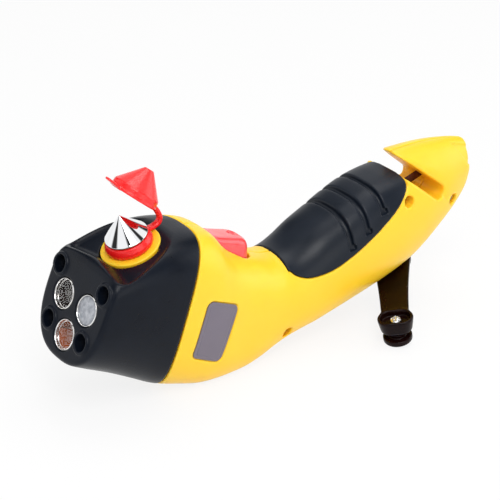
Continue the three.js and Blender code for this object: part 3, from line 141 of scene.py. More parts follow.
@dataclass
class Grid:
    """A box of points a step apart, in millimetres, on which a solid's distance is kept."""

    low: tuple[float, float, float]
    high: tuple[float, float, float]
    step: float
    first: Array = field(init=False)
    x: Array = field(init=False)
    y: Array = field(init=False)
    z: Array = field(init=False)

    def __post_init__(self) -> None:
        """Lays out the points."""
        self.first = np.floor(np.array(self.low) / self.step).astype(int)
        last = np.ceil(np.array(self.high) / self.step).astype(int)
        lines = [np.arange(a, b + 1, dtype=np.float32) * np.float32(self.step)
                 for a, b in zip(self.first, last)]
        self.x = lines[0][:, None, None]
        self.y = lines[1][None, :, None]
        self.z = lines[2][None, None, :]

    @property
    def shape(self) -> tuple[int, int, int]:
        """How many points there are each way."""
        return self.x.size, self.y.size, self.z.size

    def sample(self, values: Array, points: Array) -> Array:
        """The field's values at points in millimetres.

        Args:
            values: the field on this grid.
            points: n by 3 points.

        Returns:
            n values, straight between the grid's points.
        """
        place = points / self.step - self.first
        limit = np.array(self.shape) - LAST_POINT
        place = np.clip(place, 0, limit)
        base = place.astype(int)
        part = place - base
        total = np.zeros(len(points))
        for corner in range(8):
            offset = np.array([corner & 1, corner >> 1 & 1, corner >> 2 & 1])
            weight = np.prod(np.where(offset, part, 1 - part), axis=1)
            i, j, k = (base + offset).T
            total += weight * values[i, j, k]
        return total

    def carried(self, values: Array, other: "Grid") -> Array:
        """The field's values at another grid's points.

        Args:
            values: the field on this grid.
            other: the grid that it is carried to.

        Returns:
            The field on the other grid.
        """
        spots = np.stack(np.broadcast_arrays(other.x, other.y, other.z), axis=-1).reshape(-1, 3)
        return self.sample(values, spots).reshape(other.shape)

    def full(self, values: Array) -> Array:
        """A field spread over the whole grid."""
        return np.broadcast_to(values, self.shape).astype(np.float32)


def both(a: Array, b: Array, round_mm: float = 0.0) -> Array:
    """What lies in both solids, its new edges rounded.

    Args:
        a: the first solid's field.
        b: the second solid's field.
        round_mm: how far the rounding reaches.

    Returns:
        The field of what they share.
    """
    if not round_mm:
        return np.maximum(a, b)
    near = np.maximum(round_mm - np.abs(a - b), 0)
    return np.maximum(a, b) + near * near / (4 * round_mm)


def either(a: Array, b: Array, round_mm: float = 0.0) -> Array:
    """Two solids joined, the corner between them filled."""
    return -both(-a, -b, round_mm)


def without(a: Array, b: Array, round_mm: float = 0.0) -> Array:
    """The first solid less the second, its new edges rounded."""
    return both(a, -b, round_mm)


def between(values: Array, low: float, high: float) -> Array:
    """The slab from low to high."""
    return np.maximum(low - values, values - high)


def round_bar(u: Array, v: Array, radius: float) -> Array:
    """A bar without ends."""
    return np.sqrt(u * u + v * v) - radius


def outline_distance(points: Sequence[Point2], u: Array, v: Array) -> Array:
    """Signed distance to a closed outline, negative inside.

    Args:
        points: the outline's corners.
        u: first coordinates.
        v: second coordinates.

    Returns:
        The distance at each u and v.
    """
    corners = np.array(points, dtype=np.float64)
    best, inside = None, None
    for (ax, ay), (bx, by) in zip(corners, np.roll(corners, -1, axis=0)):
        ex, ey = bx - ax, by - ay
        along = np.clip(((u - ax) * ex + (v - ay) * ey) / max(ex * ex + ey * ey, TINY), 0, 1)
        gap = (u - ax - ex * along) ** 2 + (v - ay - ey * along) ** 2
        best = gap if best is None else np.minimum(best, gap)
        if abs(by - ay) > TINY:
            crossed = ((ay > v) != (by > v)) & (u < ex * (v - ay) / (by - ay) + ax)
            inside = crossed if inside is None else inside ^ crossed
    return np.where(inside, -1.0, 1.0) * np.sqrt(best)


def rounded_plate(u: Array, v: Array, half_u: float, half_v: float, corner: float) -> Array:
    """Signed distance to a rectangle with round corners.

    Args:
        u: first coordinates, from the middle.
        v: second coordinates, from the middle.
        half_u: half the length.
        half_v: half the width.
        corner: the corners' radius.

    Returns:
        The distance, negative inside.
    """
    du, dv = np.abs(u) - (half_u - corner), np.abs(v) - (half_v - corner)
    outside = np.sqrt(np.maximum(du, 0) ** 2 + np.maximum(dv, 0) ** 2)
    return outside + np.minimum(np.maximum(du, dv), 0) - corner


# softening keeps this share of a point's own value, and takes this much of each neighbour's
OWN_SHARE = 0.5
NEIGHBOUR_SHARE = 0.25


def softened(values: Array, passes: int = 1) -> Array:
    """The field averaged with its neighbours, which takes the last facets out of a surface.

    Args:
        values: the field.
        passes: how many times it is averaged.

    Returns:
        The softer field.
    """
    made = values
    for _ in range(passes):
        for axis in range(3):
            padded = np.pad(made, [(1, 1) if a == axis else (0, 0) for a in range(3)], mode="edge")
            before, after = [slice(None)] * 3, [slice(None)] * 3
            before[axis], after[axis] = slice(None, -2), slice(2, None)
            made = OWN_SHARE * made + NEIGHBOUR_SHARE * (padded[tuple(before)] + padded[tuple(after)])
    return made.astype(np.float32)


def eased(a: Array, b: Array, c: Array, d: Array, t: float) -> Array:
    """The point a share t of the way from b to c, on a smooth curve through four points."""
    return 0.5 * (2 * b + (c - a) * t + (2 * a - 5 * b + 4 * c - d) * t**2
                  + (3 * b - a - 3 * c + d) * t**3)


def smooth_outline(points: Sequence[Point2], steps: int = 6) -> list[Point2]:
    """A closed outline eased through its points.

    Args:
        points: the outline's corners.
        steps: how many points each stretch gets.

    Returns:
        The finer outline.
    """
    p = np.array(points, dtype=float)
    made = []
    for i in range(len(p)):
        a, b, c, d = p[i - 1], p[i], p[(i + 1) % len(p)], p[(i + 2) % len(p)]
        made += [tuple(eased(a, b, c, d, t)) for t in np.arange(steps) / steps]
    return made


# Meshes


# a surface is drawn on to its field's zero in a few passes, each half a step long at most
BACKGROUND_STEPS = 4
DRAW_PASSES = 2
LEAST_SLOPE = 0.25
LEAST_NORMAL = 1e-9
SLOPE_REACH = 0.6
# a rounded corner takes less than half of each side beside it
CORNER_SHARE = 0.45
LEAST_CORNER = 1e-3


@dataclass
class Surface:
    """Points in millimetres, faces and, where they are known, the points' normals."""

    points: Array
    faces: list
    normals: Optional[Array] = None

    def placed(self, matrix: Array) -> "Surface":
        """The surface moved by a matrix.

        Args:
            matrix: a 4 by 4 turn and move.

        Returns:
            The moved surface.
        """
        points = self.points @ matrix[:3, :3].T + matrix[:3, 3]
        normals = None if self.normals is None else self.normals @ matrix[:3, :3].T
        return Surface(points, self.faces, normals)


def surface_of(grid: Grid, values: Array, keep: float = 1.0) -> Surface:
    """The closed surface of a field, drawn on to its zero and given the field's own normals.

    Args:
        grid: where the field is.
        values: the field.
        keep: the share of faces kept where the surface is thinned out.

    Returns:
        The surface in millimetres.
    """
    volume = openvdb.FloatGrid(float(BACKGROUND_STEPS * grid.step))
    volume.transform = openvdb.createLinearTransform(grid.step)
    first = tuple(int(i) for i in grid.first)
    volume.copyFromArray(np.ascontiguousarray(values, dtype=np.float32), ijk=first)
    points, quads = volume.convertToQuads(0.0)
    points = np.array(points, dtype=float)
    quads = np.array(quads, dtype=int)
    corners = points[quads]
    across = np.cross(corners[:, 1] - corners[:, 0], corners[:, 2] - corners[:, 0])
    if np.einsum("ij,ij->i", corners[:, 0], across).sum() < 0:
        quads = quads[:, ::-1]
    faces = quads.tolist()
    if keep < 1.0:
        points, faces = thinned(points, faces, keep)
    for _ in range(DRAW_PASSES):
        distance = grid.sample(values, points)
        slope = field_slope(grid, values, points)
        size = np.maximum((slope**2).sum(axis=1), LEAST_SLOPE)
        points = points - np.clip(distance / size, -grid.step / 2, grid.step / 2)[:, None] * slope
    slope = field_slope(grid, values, points)
    normals = slope / np.maximum(np.linalg.norm(slope, axis=1), LEAST_NORMAL)[:, None]
    return Surface(points, faces, normals)


def field_slope(grid: Grid, values: Array, points: Array) -> Array:
    """The field's slope at points.

    Args:
        grid: where the field is.
        values: the field.
        points: n by 3 points.

    Returns:
        n by 3 slopes.
    """
    reach = SLOPE_REACH * grid.step
    slope = np.zeros_like(points)
    for axis in range(3):
        offset = np.zeros(3)
        offset[axis] = reach
        rise = grid.sample(values, points + offset) - grid.sample(values, points - offset)
        slope[:, axis] = rise / (2 * reach)
    return slope


def thinned(points: Array, faces: list, keep: float) -> tuple[Array, list]:
    """A mesh with fewer faces where it is flat.

    Args:
        points: its points.
        faces: its faces.
        keep: the share of faces kept.

    Returns:
        The points and faces left.
    """
    mesh = bpy.data.meshes.new("thinned")
    mesh.from_pydata(points.tolist(), [], faces)
    holder = bpy.data.objects.new("thinned", mesh)
    bpy.context.scene.collection.objects.link(holder)
    thinner = holder.modifiers.new("thinner", "DECIMATE")
    thinner.ratio = keep
    made = bpy.data.meshes.new_from_object(holder.evaluated_get(bpy.context.evaluated_depsgraph_get()))
    out = np.zeros(len(made.vertices) * 3)
    made.vertices.foreach_get("co", out)
    kept = [list(p.vertices) for p in made.polygons]
    bpy.data.objects.remove(holder)
    bpy.data.meshes.remove(mesh)
    bpy.data.meshes.remove(made)
    return out.reshape(-1, 3), kept


def filleted(profile: Sequence[Point2], radius: float, steps: int = 4) -> list[Point2]:
    """A profile with each of its corners rounded, except those on the axis.

    Args:
        profile: the section, as radius and height.
        radius: the corners' radius, less where a side is short.
        steps: how many steps a corner takes.

    Returns:
        The finer profile.
    """
    p = [np.array(q, dtype=float) for q in profile]
    made = []
    for i, corner in enumerate(p):
        before, after = p[i - 1] - corner, p[(i + 1) % len(p)] - corner
        room = min(np.linalg.norm(before), np.linalg.norm(after)) * CORNER_SHARE
        if corner[0] < ON_AXIS or room < LEAST_CORNER:
            made.append(tuple(corner))
            continue
        reach = min(radius, room)
        start = corner + before / np.linalg.norm(before) * reach
        end = corner + after / np.linalg.norm(after) * reach
        for t in np.linspace(0, 1, steps + 1):
            made.append(tuple((1 - t) ** 2 * start + 2 * t * (1 - t) * corner + t * t * end))
    return made


def lathe(profile: Sequence[Point2], sides: int = 72) -> Surface:
    """A turned surface round z from a profile of radius and height.

    Args:
        profile: the section, from the axis back to the axis, or a closed loop off it.
        sides: how many steps it takes round.

    Returns:
        The surface.
    """
    on_axis = [r < ON_AXIS for r, _ in profile]
    angles = np.arange(sides) * 2 * np.pi / sides
    points, starts = [], []
    for (r, z), single in zip(profile, on_axis):
        starts.append(len(points))
        if single:
            points.append((0.0, 0.0, z))
        else:
            points.extend((r * math.cos(a), r * math.sin(a), z) for a in angles)
    faces = []
    count = len(profile)
    for i in range(count):
        j = (i + 1) % count
        if on_axis[i] and on_axis[j]:
            continue
        for k in range(sides):
            n = (k + 1) % sides
            if on_axis[i]:
                faces.append([starts[i], starts[j] + n, starts[j] + k])
            elif on_axis[j]:
                faces.append([starts[i] + k, starts[i] + n, starts[j]])
            else:
                faces.append([starts[i] + k, starts[i] + n, starts[j] + n, starts[j] + k])
    return Surface(np.array(points), faces)


def swept(path: Array, section: Sequence[Point2], sides: Array, ups: Array) -> Surface:
    """A closed band or bar drawn along a path.

    Args:
        path: n points.
        section: the cross-section, as across and up.
        sides: n unit vectors across.
        ups: n unit vectors up.

    Returns:
        The surface with its two ends closed.
    """
    m = len(section)
    points = [p + s * a + u * b for p, s, u in zip(path, sides, ups) for a, b in section]
    faces = [[i * m + k, i * m + (k + 1) % m, (i + 1) * m + (k + 1) % m, (i + 1) * m + k]
             for i in range(len(path) - 1) for k in range(m)]
    faces.append(list(range(m))[::-1])
    faces.append([(len(path) - 1) * m + k for k in range(m)])
    return Surface(np.array(points), faces)


def outward(mesh: bpy.types.Mesh) -> None:
    """Turns a closed mesh's faces outwards.

    Args:
        mesh: the mesh, changed in place.
    """
    volume = 0.0
    for face in mesh.polygons:
        corners = [mesh.vertices[v].co for v in face.vertices]
        for i in range(1, len(corners) - 1):
            volume += corners[0].dot(corners[i].cross(corners[i + 1]))
    if volume < 0:
        mesh.flip_normals()


# Finishes


def linear(hex_color: str) -> tuple[float, float, float, float]:
    """An sRGB hex colour as the linear numbers that a shader takes."""
    parts = [int(hex_color[i:i + 2], 16) / 255 for i in (1, 3, 5)]
    return tuple(c / 12.92 if c <= 0.04045 else ((c + 0.055) / 1.055) ** 2.4 for c in parts) + (1.0,)


def add_node(tree: bpy.types.NodeTree, kind: str, links: Optional[dict] = None,
             **settings: object) -> bpy.types.Node:
    """Adds a node with its settings and links.

    Args:
        tree: the tree that it goes into.
        kind: the node's type.
        links: input name or number to an output socket or a value.
        settings: the node's own properties.

    Returns:
        The node.
    """
    node = tree.nodes.new(kind)
    for name, value in settings.items():
        setattr(node, name, value)
    for name, value in (links or {}).items():
        socket = node.inputs[name]
        if isinstance(value, bpy.types.NodeSocket):
            tree.links.new(value, socket)
        else:
            socket.default_value = value
    return node


def ranged(tree: bpy.types.NodeTree, value: bpy.types.NodeSocket, come: Point2,
           go: Point2) -> bpy.types.NodeSocket:
    """A value brought from one range to another, and held at its ends."""
    return add_node(tree, "ShaderNodeMapRange", {
        "Value": value, "From Min": come[0], "From Max": come[1], "To Min": go[0], "To Max": go[1],
    }).outputs["Result"]


def mixed(tree: bpy.types.NodeTree, share: bpy.types.NodeSocket, first: object,
          second: object) -> bpy.types.NodeSocket:
    """Two colours mixed, each a socket or four numbers."""
    links = {0: share, 6: first, 7: second}
    return add_node(tree, "ShaderNodeMix", links, data_type="RGBA").outputs[2]


# how deep red, green and blue go into a plastic, against each other
SUBSURFACE_RADIUS = (1.0, 0.55, 0.2)
# the stretch of a noise that is used, and of the edges' pointedness
NOISE_RANGE = (0.3, 0.7)
EDGE_RANGE = (0.53, 0.62)
# how far pointed edges are lightened, which is partly wear and partly a painted highlight
WEAR_AND_HIGHLIGHT_SHARE = 0.5
LEAST_ROUGHNESS = 0.02
CLOUD_DETAIL = 3.0
CLOUD_ROUGHNESS = 0.55
GRAIN_DETAIL = 2.0
GRAIN_ROUGHNESS = 0.6


@dataclass(frozen=True)
class Finish:
    """A real material and how its surface was made.

    The colours are sRGB hex. Grain is the surface's texture: its size and its height in millimetres.
    Cloud is the slow change of tone in a moulding, and shine_spread how far the roughness wanders with
    it.
    """

    name: str
    color: str
    roughness: float
    cloud_color: Optional[str] = None
    cloud_mm: float = 25.0
    cloud_share: float = 0.35
    shine_spread: float = 0.06
    grain_mm: float = 0.6
    grain_height_mm: float = 0.01
    stretch: tuple[float, float, float] = (1.0, 1.0, 1.0)
    metallic: float = 0.0
    ior: float = 1.5
    specular: float = 0.5
    alpha: float = 1.0
    coat: float = 0.0
    coat_roughness: float = 0.1
    subsurface: float = 0.0
    subsurface_mm: float = 1.0
    transmission: float = 0.0
    wear_and_highlight_color: Optional[str] = None

    def material(self) -> bpy.types.Material:
        """The Blender material, made once.

        Returns:
            The material.
        """
        found = bpy.data.materials.get(self.name)
        if found:
            return found
        material = bpy.data.materials.new(self.name)
        material.use_nodes = True
        material.diffuse_color = linear(self.color)
        tree = material.node_tree
        tree.nodes.clear()
        shader = add_node(tree, "ShaderNodeBsdfPrincipled", {
            "Base Color": linear(self.color), "Roughness": self.roughness, "Metallic": self.metallic,
            "IOR": self.ior, "Specular IOR Level": self.specular, "Alpha": self.alpha,
            "Coat Weight": self.coat, "Coat Roughness": self.coat_roughness,
            "Subsurface Weight": self.subsurface, "Subsurface Scale": self.subsurface_mm * MM,
            "Subsurface Radius": SUBSURFACE_RADIUS, "Transmission Weight": self.transmission,
        })
        add_node(tree, "ShaderNodeOutputMaterial", {"Surface": shader.outputs["BSDF"]})
        place = add_node(tree, "ShaderNodeTexCoord").outputs["Object"]
        cloud = add_node(tree, "ShaderNodeTexNoise", {
            "Vector": place, "Scale": 1 / (self.cloud_mm * MM), "Detail": CLOUD_DETAIL,
            "Roughness": CLOUD_ROUGHNESS,
        }).outputs["Fac"]
        if self.cloud_color or self.wear_and_highlight_color:
            tree.links.new(self.tone(tree, cloud), shader.inputs["Base Color"])
        low = max(self.roughness - self.shine_spread, LEAST_ROUGHNESS)
        high = min(self.roughness + self.shine_spread, 1.0)
        tree.links.new(ranged(tree, cloud, NOISE_RANGE, (low, high)), shader.inputs["Roughness"])
        if self.grain_height_mm:
            tree.links.new(self.grain(tree, place), shader.inputs["Normal"])
        return material

    def tone(self, tree: bpy.types.NodeTree, cloud: bpy.types.NodeSocket) -> bpy.types.NodeSocket:
        """The colour, with its slow change and its lighter edges, which are partly wear and partly a painted
        highlight.

        Args:
            tree: the material's tree.
            cloud: the slow noise.

        Returns:
            The colour's socket.
        """
        color = linear(self.color)
        if self.cloud_color:
            share = ranged(tree, cloud, NOISE_RANGE, (0.0, self.cloud_share))
            color = mixed(tree, share, color, linear(self.cloud_color))
        # pointed edges lightened: partly wear, partly a painted highlight
        if self.wear_and_highlight_color:
            edge = add_node(tree, "ShaderNodeNewGeometry").outputs["Pointiness"]
            wear_and_highlight = ranged(tree, edge, EDGE_RANGE, (0.0, WEAR_AND_HIGHLIGHT_SHARE))
            color = mixed(tree, wear_and_highlight, color, linear(self.wear_and_highlight_color))
        return color

    def grain(self, tree: bpy.types.NodeTree, place: bpy.types.NodeSocket) -> bpy.types.NodeSocket:
        """The surface's fine texture.

        Args:
            tree: the material's tree.
            place: the object's own coordinates.

        Returns:
            The normal's socket.
        """
        stretched = add_node(tree, "ShaderNodeMapping", {"Vector": place, "Scale": self.stretch})
        grain = add_node(tree, "ShaderNodeTexNoise", {
            "Vector": stretched.outputs["Vector"], "Scale": 1 / (self.grain_mm * MM),
            "Detail": GRAIN_DETAIL, "Roughness": GRAIN_ROUGHNESS})
        bump = add_node(tree, "ShaderNodeBump", {
            "Height": grain.outputs["Fac"], "Distance": self.grain_height_mm * MM, "Strength": 1.0})
        return bump.outputs["Normal"]


class Shade(Enum):
    """The finishes of the flashlight's pieces."""

    # ABS, injection moulded in a polished tool: even yellow, soft sheen, warm where light goes through
    YELLOW_ABS = Finish("moulded_yellow_abs", "#FFCC2B", 0.36, "#FFC21C", 30, 0.3, 0.05, 0.9, 0.006,
                        specular=0.42, subsurface=0.34, subsurface_mm=3.0)
    # ABS moulded in a spark-eroded tool: black with a fine grain that breaks the sheen; its lighter edges
    #     # are partly wear and partly a painted highlight
    BLACK_ABS = Finish("eroded_black_abs", "#0A0F18", 0.32, "#121925", 14, 0.5, 0.06, 0.7, 0.035,
                       specular=0.15, wear_and_highlight_color="#2F333B")
    # Thermoplastic rubber: smooth, satin, bluish black
    GRIP_RUBBER = Finish("moulded_grip_rubber", "#0D141E", 0.36, "#131C29", 16, 0.5, 0.05, 0.5, 0.018,
                         specular=0.23)
    # PVC, soft and glossy: light goes a little way into it
    RED_VINYL = Finish("moulded_red_vinyl", "#F01A1A", 0.26, "#F62C2C", 9, 0.5, 0.06, 0.8, 0.01,
                       subsurface=0.42, subsurface_mm=1.6)
    # Polycarbonate tinted red, lit through from its edges
    SWITCH_RED = Finish("tinted_polycarbonate", "#F0454D", 0.22, "#F76A6C", 7, 0.6, 0.05, 1.0, 0.008,
                        coat=0.4, coat_roughness=0.08, subsurface=0.55, subsurface_mm=2.5)
    # Nylon, glossy black: the crank's arm and knob. Its reddish brown cast is a painted warm reflection of
    #     # the yellow body, and its lighter edges are partly wear and partly a painted highlight
    BLACK_NYLON = Finish("moulded_black_nylon", "#0C0304", 0.24, "#1F0702", 10, 0.6, 0.06, 0.9, 0.008,
                         specular=0.12, wear_and_highlight_color="#34343C")
    # Polyester label stock, satin grey
    LABEL_FILM = Finish("satin_label_film", "#6B6471", 0.4, "#736C78", 8, 0.5, 0.05, 0.3, 0.006)
    # Tool steel, turned, polished and chromed
    CHROME = Finish("polished_chrome", "#F2F3F5", 0.05, None, 12, 0.0, 0.02, 0.5, 0.0, metallic=1.0)
    # Zinc plated steel screws: bright with a slight haze
    ZINC = Finish("zinc_plated_steel", "#D9DADC", 0.22, "#C4C6C9", 2, 0.5, 0.08, 0.4, 0.006, metallic=1.0)
    # Hardened strip steel, ground
    STRIP_STEEL = Finish("ground_strip_steel", "#9EA2A8", 0.3, "#84888E", 3, 0.5, 0.08, 0.25, 0.006,
                         stretch=(1.0, 1.0, 6.0), metallic=1.0)
    # Hardened strip steel, coloured dark brown: the dark is painted shade of the slot, and the brown sheen
    #     # a painted reflection of the slot's orange walls
    BLADE_STEEL_PAINTED_SHADE = Finish("blade_steel_painted_shade", "#5A3A32", 0.32, "#3E2A28", 3, 0.6, 0.08, 0.25, 0.006,
                         stretch=(1.0, 1.0, 6.0), metallic=1.0)
    # Polycarbonate, clear
    LENS = Finish("clear_polycarbonate", "#FFFFFF", 0.03, None, 8, 0.0, 0.01, 2.0, 0.0, ior=1.58,
                  specular=0.2, transmission=1.0, alpha=0.12)
    # Polycarbonate with a sand-blasted back: milky
    FROSTED_LENS = Finish("frosted_polycarbonate", "#969CA8", 0.42, "#DDE0E6", 1.6, 1.0, 0.1, 0.5, 0.05,
                          ior=1.58, transmission=0.3, alpha=0.86)
    # Painted light on two of the bowls: painted brown shade in one, and in the other, below the diode,
    #     # a painted orange reflection of the diode
    BOWL_PAINTED_SHADE = Finish("bowl_painted_shade", "#120B09", 0.55, "#2A1D1A", 4, 0.7, 0.05, 0.8, 0.003, specular=0.06)
    BOWL_PAINTED_DIODE_REFLECTION = Finish("bowl_painted_diode_reflection", "#A84A08", 0.55, "#743408", 3, 0.8, 0.05, 0.8, 0.003, specular=0.06)
    # Aluminium vapour on plastic, bright
    METALLISED = Finish("metallised_plastic", "#F4F5F6", 0.12, "#CFC6BC", 3, 0.6, 0.05, 1.2, 0.003,
                        metallic=1.0)
    # Epoxy over a phosphor chip: milky yellow
    EPOXY = Finish("led_epoxy", "#C4701F", 0.2, "#EBA544", 2.5, 0.6, 0.04, 0.8, 0.01, coat=0.5,
                   subsurface=0.3)
    # Glass-fibre board with green lacquer
    BOARD = Finish("lacquered_board", "#1F6A3B", 0.35, "#17552F", 3, 0.6, 0.08, 0.5, 0.02)
    # Bronze, turned
    BRONZE = Finish("turned_bronze", "#B8914C", 0.3, "#9C7838", 2, 0.5, 0.08, 0.3, 0.008, metallic=1.0)
    # Acetal, moulded natural white
    ACETAL = Finish("moulded_acetal", "#E6E3D8", 0.38, "#DAD5C6", 5, 0.5, 0.05, 0.5, 0.01, subsurface=0.2)
    # Ferrite, sintered dark grey
    FERRITE = Finish("sintered_ferrite", "#3B3D41", 0.6, "#2E3033", 1.5, 0.7, 0.08, 0.3, 0.03)
    # Enamelled copper wire, wound in layers
    COPPER = Finish("enamelled_copper", "#B5622F", 0.28, "#8F4A20", 1.0, 0.7, 0.08, 0.3, 0.06,
                    stretch=(1.0, 1.0, 3.0), metallic=1.0)
    # Shrink sleeve round the cell
    SLEEVE = Finish("blue_shrink_sleeve", "#2B5CA6", 0.32, "#244E90", 6, 0.5, 0.06, 1.5, 0.03, coat=0.2)
    # PVC insulation on the leads
    LEAD_PVC = Finish("red_lead_insulation", "#B93228", 0.4, "#A32A20", 3, 0.5, 0.06, 0.5, 0.01)


def add_piece(name: str, surface: Surface, shade: Shade, body: Optional[str],
              replaces: Iterable[str], sharp_degrees: float = 40.0) -> bpy.types.Object:
    """Makes a surface into a piece of the flashlight.

    Args:
        name: the piece's name.
        surface: its surface in millimetres.
        shade: its finish.
        body: the CAD body that it rides on, or None for one that runs between two and is left loose.
        replaces: the CAD nodes that it stands for.
        sharp_degrees: edges turning more than this stay sharp where no normals are given.

    Returns:
        The object.
    """
    mesh = bpy.data.meshes.new(name)
    mesh.from_pydata((surface.points * MM).tolist(), [], surface.faces)
    mesh.validate()
    mesh.shade_smooth()
    if surface.normals is None:
        outward(mesh)
        mesh.set_sharp_from_angle(angle=math.radians(sharp_degrees))
    elif len(mesh.vertices) == len(surface.normals):
        mesh.normals_split_custom_set_from_vertices(surface.normals.tolist())
    mesh.materials.append(shade.value.material())
    piece = bpy.data.objects.new(name, mesh)
    bpy.context.scene.collection.objects.link(piece)
    if body:
        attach(piece, body)
    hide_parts(*replaces)
    LOG.info("%s: %d faces, rides on %s", name, len(mesh.polygons), body or "two bodies")
    return piece


# The body's form


@dataclass
class BodyForm:
    """The form that the head, the handle and the tail are cut from.

    It is drawn through sections from the lamp face to the tail.
    """

    length: float = 200.0
    height: float = 62.0
    head_half_width: float = 21.0
    face_round: float = 1.5
    # foot x and z and top x and z as shares of length and height, half width as a share of the head's,
    # height of the widest point, and the squareness of the upper and the lower half
    sections: tuple = (
        (-0.3375, 0.345, -0.27, 0.892, 0.92, 0.67, 4.5, 2.6),
        (-0.302, 0.285, -0.222, 0.942, 0.965, 0.64, 4.2, 2.6),
        (-0.257, 0.215, -0.163, 0.98, 0.99, 0.6, 3.8, 2.7),
        (-0.212, 0.135, -0.109, 0.984, 1, 0.56, 3.4, 2.8),
        (-0.169, 0.06, -0.058, 0.952, 1, 0.53, 3.1, 3),
        (-0.12, 0.012, -0.034, 0.91, 0.99, 0.52, 2.9, 3.3),
        (-0.08, -0.022, -0.019, 0.856, 0.97, 0.52, 2.7, 3.5),
        (-0.04, -0.035, -0.003, 0.799, 0.945, 0.51, 2.6, 3.5),
        (-0.005, -0.035, 0.018, 0.753, 0.91, 0.5, 2.5, 3.5),
        (0.03, -0.03, 0.043, 0.702, 0.875, 0.5, 2.5, 3.4),
        (0.065, -0.008, 0.07, 0.663, 0.84, 0.5, 2.5, 3.2),
        (0.1, 0.025, 0.096, 0.627, 0.81, 0.5, 2.4, 2.9),
        (0.135, 0.052, 0.12, 0.612, 0.79, 0.5, 2.3, 2.7),
        (0.17, 0.07, 0.145, 0.627, 0.785, 0.5, 2.3, 2.6),
        (0.204, 0.088, 0.174, 0.668, 0.79, 0.5, 2.4, 2.6),
        (0.244, 0.12, 0.206, 0.728, 0.805, 0.5, 2.5, 2.6),
        (0.289, 0.157, 0.248, 0.79, 0.815, 0.5, 2.5, 2.6),
        (0.333, 0.193, 0.29, 0.853, 0.815, 0.5, 2.5, 2.6),
        (0.378, 0.23, 0.332, 0.913, 0.8, 0.5, 2.5, 2.6),
        (0.417, 0.262, 0.371, 0.975, 0.775, 0.5, 2.3, 2.5),
        (0.457, 0.3, 0.406, 1.05, 0.735, 0.5, 2.1, 2.4),
        (0.492, 0.365, 0.45, 1.064, 0.69, 0.5, 2, 2.3),
        (0.523, 0.444, 0.49, 1.064, 0.62, 0.5, 2, 2.4),
        (0.55, 0.521, 0.528, 1.055, 0.55, 0.5, 2, 2.6),
        (0.574, 0.595, 0.566, 1.042, 0.455, 0.5, 1.8, 3),
        (0.595, 0.66, 0.598, 1.02, 0.36, 0.5, 1.7, 3),
        (0.605, 0.73, 0.62, 0.995, 0.25, 0.5, 1.7, 3),
        (0.611, 0.8, 0.628, 0.95, 0.12, 0.5, 1.8, 2.6),
    )
    handle_rows: int = 22
    handle_tops: tuple = ((16, 0.79, 2.6), (17, 0.852, 2.8), (18, 0.905, 3.0), (19, 0.93, 3.3),
                          (20, 0.943, 3.6), (21, 0.965, 3.6))
    face_edge: tuple = ((0, 1), (0.04, 0.55), (0.11, 0.22), (0.22, 0.05), (0.35, 0))
    ring_points: int = 144
    rings_per_section: int = 6
    face_rings: int = 9
    top_column: int = 3
    upper_column: int = 6
    band_mm: float = 7.5

    def handle_sections(self) -> list:
        """The sections of the handle alone, whose top stays low and broad under the hook.

        Returns:
            The rows.
        """
        rows = [list(row) for row in self.sections[:self.handle_rows]]
        for i, top, squareness in self.handle_tops:
            rows[i][self.top_column], rows[i][self.upper_column] = top, squareness
        return rows

    def ring(self, rows: Sequence, station: float, inset: float) -> Array:
        """The points round one section, eased between the rows.

        Args:
            rows: the sections.
            station: the place along them, in rows.
            inset: how far the section is drawn in.

        Returns:
            n by 3 points.
        """
        last = len(rows) - 1
        i = min(int(station), last - 1)
        t = station - i
        p, q, r, s = (np.array(rows[max(0, min(last, k))], dtype=float) for k in (i - 1, i, i + 1, i + 2))
        fx, fz, tx, tz, width, widest, upper, lower = q + 0.5 * t * (
            r - p + t * (2 * p - 5 * q + 4 * r - s + t * (3 * (q - r) + s - p)))
        foot = np.array([fx * self.length, fz * self.height])
        top = np.array([tx * self.length, tz * self.height])
        along = (top - foot) / np.linalg.norm(top - foot)
        foot, top = foot + along * inset, top - along * inset
        middle = foot + (top - foot) * widest
        half = width * self.head_half_width - inset
        angle = np.arange(self.ring_points) * 2 * np.pi / self.ring_points
        c, n = np.cos(angle), np.sin(angle)
        power = np.where(n >= 0, 2 / upper, 2 / lower)
        reach = np.where(n >= 0, np.linalg.norm(top - middle), -np.linalg.norm(foot - middle))
        rise = reach * np.abs(n) ** power
        return np.stack([middle[0] + along[0] * rise, np.sign(c) * half * np.abs(c) ** power,
                         middle[1] + along[1] * rise], axis=1)

    def distance(self, grid: Grid, rows: Sequence) -> Array:
        """Signed distance to the form through some rows, on a grid.

        Args:
            grid: the grid.
            rows: the sections.

        Returns:
            The field.
        """
        edge_at, edge_share = zip(*self.face_edge)
        last = len(rows) - 1
        stations = np.concatenate([np.linspace(0, edge_at[-1], self.face_rings)[:-1],
                                   np.linspace(edge_at[-1], last, (last - 1) * self.rings_per_section)])
        rings = [self.ring(rows, s, self.face_round * float(np.interp(s, edge_at, edge_share)))
                 for s in stations]
        n = self.ring_points
        points = np.concatenate(rings + [rings[0].mean(axis=0)[None], rings[-1].mean(axis=0)[None]])
        k = np.arange(n)
        turn = (k + 1) % n
        quads = np.concatenate([
            np.stack([r * n + k, r * n + turn, (r + 1) * n + turn, (r + 1) * n + k], axis=1)
            for r in range(len(rings) - 1)])
        end = (len(rings) - 1) * n
        triangles = np.concatenate([np.stack([np.full(n, len(rings) * n), turn, k], axis=1),
                                    np.stack([np.full(n, len(rings) * n + 1), end + k, end + turn], axis=1)])
        volume = openvdb.FloatGrid.createLevelSetFromPolygons(
            points.astype(np.float32), triangles=triangles.astype(np.uint32), quads=quads.astype(np.uint32),
            transform=openvdb.createLinearTransform(grid.step), halfWidth=math.ceil(self.band_mm / grid.step))
        values = np.zeros(grid.shape, dtype=np.float32)
        volume.copyToArray(values, ijk=tuple(int(i) for i in grid.first))
        return values


